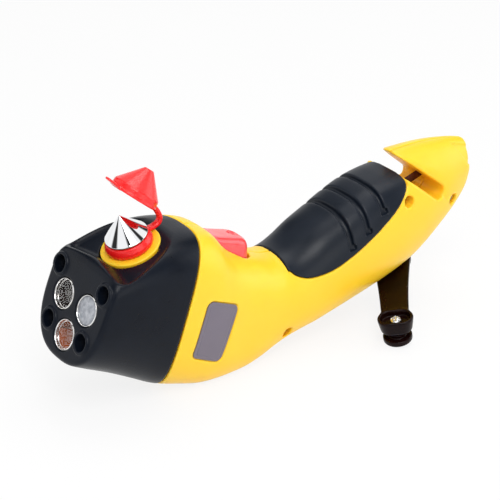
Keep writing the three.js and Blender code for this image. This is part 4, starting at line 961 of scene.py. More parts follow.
@dataclass
class OuterForm:
    """The whole outside of the body: the form with its flats, its slot, its hook and its dish."""

    form: BodyForm = field(default_factory=BodyForm)
    step: float = 0.5
    low: tuple = (-70.0, -23.0, -2.5)
    high: Point2 = (23.0, 70.0)
    rear: float = 126.0
    foot_round: float = 1.2
    slot_width: float = 6.0
    slot_length: float = 21.4
    slot_end_points: int = 14
    slot_round: float = 1.0
    hook_tip: Point2 = (81.4, 65.6)
    hook_clear_x: float = 71.5
    hook_clear_z: float = 58.9
    hook_overrun: float = 2.0
    hook_round: float = 0.8
    hook_side_round: float = 1.6
    grip_rear_rise: float = 60.3
    fit_gap: float = 0.3
    under_hook: tuple = (58.0, 82.4, 53.0, 61.5)
    hook_taper: tuple = ((0.39, 0.1), (0.42, 0.33), (0.455, 0.5), (0.5, 0.6), (0.54, 0.66))
    land_front_x: float = 22.5
    land_round: float = 1.2
    dish_floor: float = -5.75
    dish_floor_round: float = 1.2
    dish_round: float = 0.7
    dish_steps: int = 3
    tail_step_x: float = 113.6
    tail_step_z: float = 61.0
    tail_step_slope: float = -52.0
    tail_inset: float = 0.8
    tail_rib: float = 3.4
    tail_step_round: float = 0.3
    tail_end_x: float = 121.2
    tail_end_round: float = 1.0
    notch: tuple = (122.9, 53.6)
    notch_radius: float = 2.6
    notch_round: float = 0.5
    # the dish's edge on the head, from the mid plane in front round the side to the mid plane behind
    dish_edge: tuple = ((-11.8, 0), (-12.6, 6), (-13.8, 12), (-14.6, 16), (-13.8, 18.2), (-11, 19),
                        (-6.6, 18.7), (0, 17.3), (6, 15.1), (13, 11), (19, 6.5), (22, 0))
    dish_edge_rise: float = -3.6
    dish_slope: float = 0.8
    far: float = 200.0
    grid: Grid = field(init=False)
    handle: Array = field(init=False)
    bare: Array = field(init=False)
    values: Array = field(init=False)
    slot_field: Array = field(init=False)

    def __post_init__(self) -> None:
        """Works out the fields of the bare form, the handle and the cut form."""
        self.grid = Grid(self.low, (self.rear, *self.high), self.step)
        self.bare = softened(self.form.distance(self.grid, self.form.sections))
        made = both(self.bare, -self.grid.z, self.foot_round)
        if self.rear > self.land_front_x:
            made = self.handle_end(made)
        self.values = without(made, self.dish(), self.dish_round)

    def handle_end(self, made: Array) -> Array:
        """Cuts what lies behind the head.

        These are the grip's bed, the crank's land, the slot, the hook's sides and the tail's end.

        Args:
            made: the form.

        Returns:
            The form less the cuts.
        """
        g = self.grid
        self.handle = softened(self.form.distance(g, self.form.handle_sections()))
        x0, x1, z0, z1 = self.under_hook
        under = np.maximum(between(g.x, x0, x1), between(g.z, z0, z1))
        made = without(made, both(under, -self.handle), self.hook_round)
        u, w = CRANK.split(g.x, g.z)
        front = (self.land_front_x - CRANK.x) / math.cos(math.radians(CRANK.slope))
        made = without(made, both(w, front - u), self.land_round)
        self.slot_field = g.full(self.slot())
        made = without(made, self.slot_field, self.slot_round)
        made = without(made, self.hook_sides(), self.hook_side_round)
        return self.tail_end(made)

    def slot(self) -> Array:
        """The belt cutter's slot, open through the body and to the front of the hook.

        Returns:
            The field.
        """
        c, s = math.cos(math.radians(SLOT.slope)), math.sin(math.radians(SLOT.slope))
        half = self.slot_width / 2
        outline = [(0.0, 0.0)]
        for k in range(self.slot_end_points + 1):
            angle = -math.pi / 2 + math.pi * k / self.slot_end_points
            outline.append((self.slot_length - half + half * math.cos(angle),
                            half + half * math.sin(angle)))
        world = [(SLOT.x + u * c - w * s, SLOT.z + u * s + w * c) for u, w in outline]
        tip_x, tip_z = self.hook_tip
        front = self.hook_clear_x - self.hook_overrun
        world += [(tip_x, tip_z), (tip_x, self.far), (front, self.far), (front, self.hook_clear_z),
                  (SLOT.x - self.fit_gap, self.grip_rear_rise)]
        return outline_distance(world, self.grid.x, self.grid.z).astype(np.float32)

    def hook_sides(self) -> Array:
        """What lies beside the hook, which narrows to its tip.

        Returns:
            The field.
        """
        g = self.grid
        u, w = SLOT.split(g.x, g.z)
        inner = [(x * self.form.length, y * self.form.head_half_width) for x, y in self.hook_taper]
        plan = inner + [(inner[-1][0], self.far), (inner[0][0] - self.far, self.far),
                        (inner[0][0] - self.far, inner[0][1])]
        beside = outline_distance(plan, g.x, np.abs(g.y))
        above = np.maximum(self.slot_width / 2 - w, u - self.slot_length - self.far)
        return both(beside, above).astype(np.float32)

    def tail_end(self, made: Array) -> Array:
        """Sets the end of the tail in by a step, flattens its rear and cuts the notch under it.

        Args:
            made: the form.

        Returns:
            The form with its tail's end.
        """
        g = self.grid
        _, w = Lean(self.tail_step_x, self.tail_step_z, self.tail_step_slope).split(g.x, g.z)
        behind = both(-w, self.notch[1] - g.z)
        beside = both(-(self.bare + self.tail_inset), self.tail_rib - np.abs(g.y))
        made = without(made, both(behind, beside), self.tail_step_round)
        made = without(made, both(self.tail_end_x - g.x, self.notch[1] - g.z), self.tail_end_round)
        notch = round_bar(g.x - self.notch[0], g.z - self.notch[1], self.notch_radius)
        return without(made, notch, self.notch_round)

    def dish(self) -> Array:
        """The shallow dish round the hammer tip.

        Returns:
            The field.
        """
        g = self.grid
        u, w = HAMMER.split(g.x, g.z)
        half = list(self.dish_edge)
        edge = smooth_outline(half + [(x, -y) for x, y in half[-2:0:-1]], self.dish_steps)
        wall = outline_distance(edge, u, g.y) - self.dish_slope * (w - self.dish_edge_rise)
        wall = wall / math.hypot(1, self.dish_slope)
        return both(wall, self.dish_floor - w, self.dish_floor_round).astype(np.float32)


# Head cover and shells


# the grid that the cover is drawn on is finer than the body's, and ends behind the cover
COVER_STEP = 0.36
COVER_REAR = -1.0


@dataclass
class HeadCover:
    """The black cover of the head, with its lamp holes and its screw wells."""

    outer: OuterForm
    wall: float = 2.2
    depth: float = 38.2
    tilt: float = -0.09
    bow: float = 4.9
    edge_round: float = 0.9
    lamp_hole: float = 5.85
    lamp_hole_depth: float = 6.0
    lamps: tuple = ((1.1, 7.4), (1.1, -7.4), (-11.3, 0.0))
    wells: tuple = ((9.7, 14.0), (9.7, -14.0), (-9.7, 10.5), (-9.7, -10.5))
    well_radius: float = 3.1
    well_rim: float = 1.1
    well_rise: float = 0.7
    well_depth: float = 5.6
    well_floor: float = 2.0
    # a well's cup keeps to the inside of the body, save in this band either side of the face
    well_band: float = 3.0
    well_blend: float = 0.6
    well_edge: float = 0.4
    screw_hole: float = 1.5
    recess: float = 1.2
    recess_inset: float = 1.5
    recess_round: float = 0.15
    collar_hole: float = 11.4
    collar_hole_start: float = 20.0
    hole_round: float = 0.5
    overrun: float = 30.0
    kept_faces: float = 0.3

    def zone(self, set_back: float) -> Array:
        """Negative ahead of the cover's edge, which bows forward at the sides.

        Args:
            set_back: how far behind the edge the zone ends.

        Returns:
            The field.
        """
        g = self.outer.grid
        x, z = FACE.split(g.x, g.z)
        lean = math.pi / 2 + math.atan(self.tilt)
        along = x * math.cos(lean) - z * math.sin(lean)
        half = self.outer.form.head_half_width
        edge = self.depth + set_back - self.bow * (g.y / half) ** 2
        slope = 2 * self.bow * g.y / half**2
        return (along - edge) / np.sqrt(1 + slope**2)

    def build(self) -> None:
        """Builds and dresses the cover."""
        g = self.outer.grid
        _, w = FACE.split(g.x, g.z)
        solid = both(self.outer.values, self.zone(0.0), self.edge_round)
        recess = both(self.outer.bare + self.recess_inset, -self.recess - w)
        solid = without(solid, recess, self.recess_round)
        cover = self.add_wells(without(solid, solid + self.wall))
        for place in self.lamps:
            hole = both(self.bar(*place, self.lamp_hole), between(w, -self.lamp_hole_depth, self.overrun))
            cover = without(cover, hole, self.hole_round)
        across, _ = HAMMER.split(g.x, g.z)
        hole = both(round_bar(across, g.y, self.collar_hole), -self.collar_hole_start - w)
        cover = without(cover, hole, self.hole_round)
        surface = surface_of(g, g.full(cover), self.kept_faces)
        add_piece("cover_head", surface, Shade.BLACK_ABS, "body", ["head_cover"])

    def bar(self, rise: float, spread: float, radius: float) -> Array:
        """A bar square to the face, at a place on it."""
        g = self.outer.grid
        return round_bar(FACE.split(g.x, g.z)[0] - rise, g.y - spread, radius)

    def add_wells(self, cover: Array) -> Array:
        """Adds the wells' cups to the cover and cuts their bores and screw holes.

        Args:
            cover: the cover's field.

        Returns:
            The cover with its wells.
        """
        g = self.outer.grid
        _, w = FACE.split(g.x, g.z)
        for place in self.wells:
            bar = self.bar(*place, self.well_radius + self.well_rim)
            cup = both(bar, between(w, -self.well_depth - self.well_floor, self.well_rise), self.hole_round)
            inside = either(self.outer.bare, both(bar, between(w, -self.well_band, self.well_band)))
            cover = either(cover, both(cup, inside), self.well_blend)
        for place in self.wells:
            bore = both(self.bar(*place, self.well_radius), between(w, -self.well_depth, self.overrun),
                        self.hole_round)
            cover = without(cover, bore, self.well_edge)
            cover = without(cover, self.bar(*place, self.screw_hole))
        return cover


@dataclass
class Shells:
    """The two yellow shells, which meet in the mid plane."""

    outer: OuterForm
    cover: HeadCover
    grip: "Grip"
    switch: "ThumbSwitch"
    label: "LabelPlate"
    wall: float = 2.1
    split_gap: float = 0.12
    split_round: float = 0.35
    seam_round: float = 0.7
    grip_bed_round: float = 0.5
    switch_room_gap: float = 0.15
    switch_room_round: float = 0.6
    screws: tuple = ((0.12, 0.163), (0.408, 0.8), (0.5435, 0.687))
    well_radius: float = 2.3
    well_floor: float = 7.5
    well_edge: float = 0.6
    boss_radius: float = 3.5
    inner_round: float = 0.4
    screw_hole: float = 1.5
    screw_end: float = 1.8
    bush_hole: float = 4.3
    bush_edge: float = 0.3
    wheel_room: float = 10.45
    wheel_layer: tuple = (6.6, 9.8)
    magnet_hole: float = 8.3
    magnet_depth: float = 4.0
    hole_reach: float = 5.0
    label_edge: float = 0.25
    kept_faces: float = 0.45

    def screw_places(self) -> list[Point2]:
        """The screws' places in the side view, in millimetres."""
        form = self.outer.form
        return [(x * form.length, z * form.height) for x, z in self.screws]

    def build(self) -> None:
        """Builds and dresses both shells."""
        g = self.outer.grid
        solid = without(self.outer.values, self.cover.zone(self.outer.fit_gap), self.seam_round)
        solid = without(solid, self.grip.bed(g), self.grip_bed_round)
        room = self.switch.room(g, self.outer.fit_gap + self.switch_room_gap)
        solid = without(solid, room, self.switch_room_round)
        body = g.full(self.openings(self.bosses(without(solid, solid + self.wall))))
        for name, side, node in (("shell_near", -1, "near_shell"), ("shell_far", 1, "far_shell")):
            half = both(body, self.split_gap - side * g.y, self.split_round)
            if side < 0:
                part = Grid(g.low, (g.high[0], g.step, g.high[2]), g.step)
                values = half[:, :part.shape[1]]
            else:
                part = Grid((g.low[0], -g.step, g.low[2]), g.high, g.step)
                values = half[:, -part.shape[1]:]
            surface = surface_of(part, values, self.kept_faces)
            add_piece(name, surface, Shade.YELLOW_ABS, "body", [node])

    def bosses(self, body: Array) -> Array:
        """Adds the screws' bosses and cuts their wells and holes.

        Args:
            body: the shells' field.

        Returns:
            The shells with their bosses.
        """
        g = self.outer.grid
        for x, z in self.screw_places():
            bar = round_bar(g.x - x, g.z - z, self.boss_radius)
            body = either(body, both(bar, self.outer.bare + self.wall / 2), self.inner_round)
        for x, z in self.screw_places():
            well = round_bar(g.x - x, g.z - z, self.well_radius)
            body = without(body, both(well, g.y + self.well_floor, self.inner_round), self.well_edge)
            body = without(body, both(round_bar(g.x - x, g.z - z, self.screw_hole), g.y - self.screw_end))
        return body

    def openings(self, body: Array) -> Array:
        """Cuts the crank's hole, its wheel's room, the magnet's hole and the label's recess.

        Args:
            body: the shells' field.

        Returns:
            The shells with their openings.
        """
        g = self.outer.grid
        u, w = CRANK.split(g.x, g.z)
        bush = both(round_bar(u, g.y, self.bush_hole), between(w, -self.hole_reach, self.hole_reach))
        body = without(body, bush, self.bush_edge)
        body = without(body, both(round_bar(u, g.y, self.wheel_room), between(w, *self.wheel_layer)))
        magnet = round_bar(g.x, g.y, self.magnet_hole)
        magnet = both(magnet, between(g.z, -self.hole_reach, self.magnet_depth))
        body = without(body, magnet, self.inner_round)
        return without(body, self.label.recess(g, self.outer.bare), self.label_edge)


@dataclass
class Grip:
    """The black grip, a saddle over the handle with three grooves."""

    outer: OuterForm
    low: tuple = (22.0, -18.0, 27.0)
    high: tuple = (86.0, 18.0, 64.0)
    step: float = 0.4
    kept_faces: float = 0.6
    thickness: float = 2.3
    bed_gap_share: float = 0.8
    outline: tuple = (
        (0.129, 0.6), (0.134, 0.545), (0.147, 0.512), (0.172, 0.492), (0.214, 0.506), (0.256, 0.553),
        (0.31, 0.643), (0.368, 0.764), (0.4015, 0.864), (0.4115, 0.925),
    )
    top_shares: tuple = ((0.412, 1.0), (0.412, 1.1), (0.129, 1.1))
    outline_steps: int = 6
    side_round: float = 0.5
    slot_round: float = 0.4
    under_round: float = 0.3
    groove_width: float = 2.0
    groove_depth: float = 1.5
    groove_slope: float = 4.0
    groove_hook: float = 2.0
    groove_round: float = 0.5
    groove_hook_round: float = 0.4
    groove_floor_round: float = 0.7
    groove_edge: float = 0.6
    grooves: tuple = ((0.259, 0.785, 11.6), (0.2975, 0.85, 10.9), (0.338, 0.91, 8.6))

    def side(self, grid: Grid) -> Array:
        """Signed distance to the grip's side outline.

        Args:
            grid: the grid.

        Returns:
            The field.
        """
        form = self.outer.form
        eased_points = smooth_outline(self.outline + self.top_shares, self.outline_steps)
        count = (len(self.outline) - 1) * self.outline_steps
        points = [(x * form.length, z * form.height)
                  for x, z in eased_points[:count + 1] + list(self.top_shares)]
        return outline_distance(points, grid.x, grid.z).astype(np.float32)

    def bed(self, grid: Grid) -> Array:
        """The place let into the shells for the grip."""
        gap = self.outer.fit_gap
        return both(self.side(grid) - gap * self.bed_gap_share,
                    -(self.outer.handle + self.thickness + 2 * gap))

    def build(self) -> None:
        """Builds and dresses the grip."""
        g = self.outer.grid
        part = Grid(self.low, self.high, self.step)
        handle, slot = (g.carried(values, part) for values in (self.outer.handle, self.outer.slot_field))
        made = both(both(handle, -slot, self.slot_round), self.side(part), self.side_round)
        made = both(made, -(handle + self.thickness), self.under_round)
        form = self.outer.form
        half = self.groove_width / 2
        for x, z, end in self.grooves:
            u, w = Lean(x * form.length, z * form.height, self.groove_slope).split(part.x, part.z)
            cut = both(np.abs(u) - half, -(w + end), self.groove_round)
            hook = both(between(u, -half, self.groove_hook), np.abs(w + end - half) - half,
                        self.groove_hook_round)
            cut = either(cut, hook, self.groove_hook_round)
            cut = both(cut, -(handle + self.groove_depth), self.groove_floor_round)
            made = without(made, cut, self.groove_edge)
        surface = surface_of(part, part.full(made), self.kept_faces)
        add_piece("grip", surface, Shade.GRIP_RUBBER, "body", ["grip_cover"])


@dataclass
class ThumbSwitch:
    """The red thumb switch behind the head, on its hinge pins, with a round dimple."""

    outer: OuterForm
    low: tuple = (-8.0, -9.0, 35.0)
    high: tuple = (15.0, 9.0, 57.0)
    step: float = 0.25
    kept_faces: float = 0.7
    outline: tuple = (
        (-0.0285, 0.87), (-0.001, 0.842), (0.028, 0.814), (0.045, 0.797), (0.056, 0.779), (0.063, 0.748),
        (0.0655, 0.7), (0.064, 0.635), (0.048, 0.6), (0.008, 0.685), (-0.029, 0.81),
    )
    outline_steps: int = 5
    half_width: float = 6.7
    rear_round: float = 6.0
    plan_reach: float = 40.0
    hinge: Point2 = (-3.8, 52.0)
    pin_radius: float = 0.9
    pin_length: float = 1.1
    pin_round: float = 0.3
    press: float = 5.0
    crown: float = 3.2
    dimple: tuple = (8.3, 49.65, -18.0)
    dimple_groove: float = 0.45
    groove_edge: float = 0.2
    dimple_radius: float = 2.3
    dimple_depth: float = 0.8
    dimple_edge: float = 0.3
    smoothing: int = 14
    bulge: float = 0.1

    def points(self) -> list[Point2]:
        """The side outline in millimetres."""
        form = self.outer.form
        return [(x * form.length, z * form.height) for x, z in self.outline]

    def plan(self, grid: Grid, grow: float) -> Array:
        """The plan outline, round at its rear.

        Args:
            grid: the grid.
            grow: how much wider it is all round.

        Returns:
            The field.
        """
        rear = max(x for x, _ in self.points()) + grow
        return rounded_plate(grid.x - rear + self.plan_reach, grid.y, self.plan_reach,
                             self.half_width + grow, self.rear_round + grow)

    def pins(self, grid: Grid, grow: float, round_mm: float) -> Array:
        """The hinge pins, as one bar through the switch.

        Args:
            grid: the grid.
            grow: how much thicker and longer the bar is.
            round_mm: the rounding of its ends.

        Returns:
            The field.
        """
        hx, hz = self.hinge
        return both(round_bar(grid.x - hx, grid.z - hz, self.pin_radius + grow),
                    np.abs(grid.y) - self.half_width - self.pin_length - grow, round_mm)

    def room(self, grid: Grid, grow: float) -> Array:
        """The well in the shells that the switch rocks in.

        Args:
            grid: the grid.
            grow: the room left round the switch.

        Returns:
            The field.
        """
        side = outline_distance(self.points(), grid.x, grid.z)
        c, s = math.cos(math.radians(self.press)), math.sin(math.radians(self.press))
        hx, hz = self.hinge
        turned = [(hx + (x - hx) * c + (z - hz) * s, hz - (x - hx) * s + (z - hz) * c)
                  for x, z in self.points()]
        side = np.minimum(side, outline_distance(turned, grid.x, grid.z)) - grow
        room = both(side, self.plan(grid, grow))
        return either(room, self.pins(grid, grow, 0.0)).astype(np.float32)

    def build(self) -> None:
        """Builds and dresses the switch."""
        grid = Grid(self.low, self.high, self.step)
        eased_points = smooth_outline(self.points(), self.outline_steps)
        side = np.maximum(outline_distance(eased_points, grid.x, grid.z),
                          outline_distance(self.points(), grid.x, grid.z) - self.bulge)
        made = both(grid.full(side), grid.full(self.plan(grid, 0.0)), self.crown)
        made = softened(made, self.smoothing)
        u, w = Lean(*self.dimple).split(grid.x, grid.z)
        radius, depth = self.dimple_radius, self.dimple_depth
        ball = (radius**2 + depth**2) / (2 * depth)
        cup = np.sqrt(u * u + grid.y**2 + (w - ball + depth) ** 2) - ball
        made = without(made, cup, self.dimple_edge)
        out = np.sqrt(u * u + grid.y**2)
        rim = np.sqrt((out - radius) ** 2 + (w + self.dimple_groove / 2) ** 2) - self.dimple_groove
        made = without(made, rim, self.groove_edge)
        made = either(made, self.pins(grid, 0.0, self.pin_round), self.pin_round)
        surface = surface_of(grid, grid.full(made), self.kept_faces)
        add_piece("thumb_piece", surface, Shade.SWITCH_RED, "switch", ["thumb_switch"])


@dataclass
class LabelPlate:
    """The grey label plate let into the near side, bare but for a fine border."""

    outer: OuterForm
    low: tuple = (-26.0, -22.5, 8.0)
    high: tuple = (0.0, -16.0, 42.0)
    step: float = 0.2
    kept_faces: float = 0.35
    corners: tuple = ((-0.08, 0.617), (-0.017, 0.529), (-0.058, 0.176), (-0.115, 0.26))
    corner_radius: float = 2.4
    corner_share: float = 1.35
    sink: float = 0.12
    thickness: float = 0.5
    edge_round: float = 0.25
    border_inset: float = 1.3
    border_width: float = 0.35
    border_depth: float = 0.12
    border_round: float = 0.1
    margin: float = 0.35
    bed_gap: float = 0.1
    near_side: float = 5.0

    def region(self, grid: Grid) -> Array:
        """Signed distance to the plate's side outline.

        Args:
            grid: the grid.

        Returns:
            The field.
        """
        form = self.outer.form
        points = np.array([(x * form.length, z * form.height) for x, z in self.corners])
        ways = points.mean(axis=0) - points
        inner = [tuple(p + way / np.linalg.norm(way) * self.corner_radius * self.corner_share)
                 for p, way in zip(points, ways)]
        return outline_distance(inner, grid.x, grid.z) - self.corner_radius

    def recess(self, grid: Grid, bare: Array) -> Array:
        """The shallow place in the near shell for the plate."""
        deep = -(bare + self.sink + self.thickness + self.bed_gap)
        return both(both(self.region(grid) - self.margin, deep), grid.y + self.near_side)

    def build(self) -> None:
        """Builds and dresses the plate."""
        grid = Grid(self.low, self.high, self.step)
        bare = self.outer.grid.carried(self.outer.bare, grid)
        region = self.region(grid)
        made = both(grid.full(region), bare + self.sink, self.edge_round)
        made = both(made, -(bare + self.sink + self.thickness))
        line = np.abs(region + self.border_inset) - self.border_width / 2
        border = both(grid.full(line), -(bare + self.sink + self.border_depth))
        made = without(made, border, self.border_round)
        surface = surface_of(grid, made, self.kept_faces)
        add_piece("label", surface, Shade.LABEL_FILM, "body", ["label_plate"])


# Lamps, screws, hammer tip and crank


@dataclass
class Lamps:
    """Three lamps, each with a lens, a bright reflector and a light-emitting diode."""

    cover: HeadCover
    names: tuple = ("far", "near", "lower")
    lens_radius: float = 5.1
    bezel_radius: float = 5.6
    lens_sink: float = 0.3
    lens_thickness: float = 1.3
    dome: float = 0.35
    dome_share: float = 0.94
    dome_shares: tuple = (0, 0.2, 0.4, 0.6, 0.8, 1.0)
    lens_edge: float = 0.1
    lens_round: float = 0.2
    face_wall: float = 3.0
    gap: float = 0.3
    reflector_depth: float = 11.0
    reflector_wall: float = 0.6
    flange: float = 0.55
    throat: float = 3.2
    bowl_depth: float = 6.6
    bowl_points: int = 14
    bowl_power: float = 1.6
    mouth: float = 5.0
    mouth_lip: float = 0.1
    lip_rise: float = 0.1
    lip_chamfer: float = 0.2
    lens_seat: float = 0.05
    lens_gap: float = 0.03
    lens_chamfer: float = 0.15
    led_radius: float = 2.5
    led_flange: float = 2.9
    led_height: float = 7.2
    led_flange_height: float = 1.0
    led_points: int = 9
    sides: int = 64
    led_sides: int = 40
    lenses: dict = field(default_factory=lambda: {
        "far": Shade.LENS, "near": Shade.FROSTED_LENS, "lower": Shade.LENS})
    # the painted shade or painted diode reflection put on a bowl, and how far up its inside
    painted_bowl_light: dict = field(default_factory=lambda: {"far": (Shade.BOWL_PAINTED_SHADE, 9.0), "lower": (Shade.BOWL_PAINTED_DIODE_REFLECTION, 0.4)})

    def lens(self) -> Surface:
        """A lens, domed a little, its rim rounded.

        Returns:
            The surface.
        """
        top, low, r = -self.lens_sink - self.dome, -self.lens_sink - self.lens_thickness, self.lens_radius
        dome = [(r * self.dome_share * s, top + self.dome * (1 - s * s)) for s in self.dome_shares]
        rim = filleted([(r, low), (r, top - self.lens_edge)], self.lens_round)
        return lathe([(0, low)] + rim + dome[::-1], self.sides)

    def reflector(self) -> Surface:
        """A bowl that opens as a parabola does.

        Returns:
            The surface.
        """
        seat = -self.face_wall - self.gap
        back = seat - self.reflector_depth
        front = -self.lens_sink - self.lens_thickness - self.lens_seat
        low = seat - self.bowl_depth
        mouth = self.mouth - self.mouth_lip
        inner = [(self.throat + (mouth - self.throat) * math.sqrt(s), low + (seat - low) * s)
                 for s in np.linspace(0, 1, self.bowl_points) ** self.bowl_power]
        outer = [(r + self.reflector_wall, z) for r, z in inner[:-1]]
        rim = self.bezel_radius + self.flange
        lip, top = self.bezel_radius, -self.lens_sink + self.lip_rise
        bore = self.lens_radius + self.lens_gap
        return lathe([(self.throat, back), (self.throat + self.reflector_wall, back)] + outer
                     + [(rim, seat - self.reflector_wall), (rim, seat), (lip, seat),
                        (lip, top - self.lip_chamfer), (lip - self.lip_chamfer, top),
                        (self.lens_radius + self.lens_chamfer, top), (bore, top - self.lens_chamfer),
                        (bore, front), (mouth, front)] + inner[::-1], self.sides)

    def led(self) -> Surface:
        """A diode with its flange and its dome.

        Returns:
            The surface.
        """
        base = -self.face_wall - self.gap - self.reflector_depth
        start = base + self.led_height
        step = base + self.led_flange_height
        dome = [(self.led_radius * math.cos(t), start + self.led_radius * math.sin(t))
                for t in np.linspace(0, math.pi / 2, self.led_points)]
        return lathe([(0, base), (self.led_flange, base), (self.led_flange, step), (self.led_radius, step)]
                     + dome[:-1] + [(0, start + self.led_radius)], self.led_sides)

    def build(self) -> None:
        """Builds and dresses the lamps."""
        for name, (rise, spread) in zip(self.names, self.cover.lamps):
            place = FACE.matrix() @ shift(rise, spread)
            lens, bowl = self.lens().placed(place), self.reflector().placed(place)
            add_piece(f"lamp_lens_{name}", lens, self.lenses[name], "body", [f"lens_{name}"])
            bowl = add_piece(f"lamp_bowl_{name}", bowl, Shade.METALLISED, "body",
                             [f"reflector_{name}"])
            self.paint_bowl_light(bowl, name, place)
            add_piece(f"lamp_diode_{name}", self.led().placed(place), Shade.EPOXY, "body",
                      [f"led_{name}"])

    def paint_bowl_light(self, bowl: bpy.types.Object, name: str, place: Array) -> None:
        """Paints light into the inside of a bowl: painted shade, or a painted reflection of its diode.

        Args:
            bowl: the bowl.
            name: which lamp it is in.
            place: the lamp's frame.
        """
        if name not in self.painted_bowl_light:
            return
        shade, below = self.painted_bowl_light[name]
        bowl.data.materials.append(shade.value.material())
        to_lamp = np.linalg.inv(place)
        for face in bowl.data.polygons:
            x, y, z = (to_lamp @ np.append(np.array(face.center) / MM, 1))[:3]
            if math.hypot(x, y) < self.mouth and z < -self.lens_thickness and x < below:
                # these faces take the painted shade or the painted diode reflection
                face.material_index = 1


@dataclass
class Screws:
    """The crosshead screws of the head, the shells and the crank."""

    cover: HeadCover
    shells: Shells
    # a screw's head radius, head height and shank
    head_size: tuple = (2.5, 1.7, 11.0)
    side_size: tuple = (1.95, 1.7, 9.0)
    shank_radius: float = 1.2
    shank_overlap: float = 0.1
    margin: float = 0.5
    crown_share: float = 1.25
    crown_round: float = 0.5
    head_round: float = 0.2
    thread_depth: float = 0.12
    thread_pitch: float = 0.9
    thread_round: float = 0.3
    cross_width: float = 0.7
    cross_depth: float = 0.9
    cross_reach: float = 0.72
    cross_taper: float = 0.12
    cross_round: float = 0.2
    cross_edge: float = 0.12
    seat_gap: float = 0.3
    step: float = 0.14
    kept_faces: float = 0.35

    def screw(self, head_radius: float, head_height: float, shank: float) -> Surface:
        """A pan head screw round z, its head on z = 0.

        Args:
            head_radius: the head's radius.
            head_height: the head's height.
            shank: the shank's length.

        Returns:
            The surface.
        """
        wide = head_radius + self.margin
        grid = Grid((-wide, -wide, -shank - self.margin), (wide, wide, head_height + self.margin), self.step)
        r = np.sqrt(grid.x**2 + grid.y**2)
        ball = (head_radius**2 + head_height**2) / (2 * head_height) * self.crown_share
        crown = np.sqrt(r * r + (grid.z - head_height + ball) ** 2) - ball
        head = both(both(r - head_radius, -grid.z, self.head_round), crown, self.crown_round)
        turn = np.arctan2(grid.y, grid.x) / (2 * math.pi)
        thread = self.thread_depth * np.abs(((grid.z / self.thread_pitch + turn) % 1.0) * 2 - 1)
        bar = both(r - self.shank_radius + thread, between(grid.z, -shank, self.shank_overlap),
                   self.thread_round)
        made = either(head, bar, self.head_round)
        half, reach = self.cross_width / 2, head_radius * self.cross_reach
        depth = head_height - self.cross_depth - grid.z
        taper = self.cross_taper * (grid.z - head_height)
        for a, b in ((grid.x, grid.y), (grid.y, grid.x)):
            arm = both(both(np.abs(a) - half - taper, np.abs(b) - reach), depth, self.cross_round)
            made = without(made, arm, self.cross_edge)
        return surface_of(grid, grid.full(made), self.kept_faces)

    def build(self) -> None:
        """Builds and dresses every screw."""
        names = ("upper_far", "upper_near", "lower_far", "lower_near")
        head = self.screw(*self.head_size)
        for name, (rise, spread) in zip(names, self.cover.wells):
            place = FACE.matrix() @ shift(rise, spread, -self.cover.well_depth + self.seat_gap)
            add_piece(f"screw_head_{name}", head.placed(place), Shade.ZINC, "body",
                      [f"head_screw_{name}"])
        side = self.screw(*self.side_size)
        for i, (x, z) in enumerate(self.shells.screw_places(), start=1):
            place = shift(x, 0, z) @ FLIP_TO_SIDE @ shift(0, 0, self.shells.well_floor + self.seat_gap)
            add_piece(f"screw_side_{i}", side.placed(place), Shade.ZINC, "body",
                      [f"body_screw_{i}"])


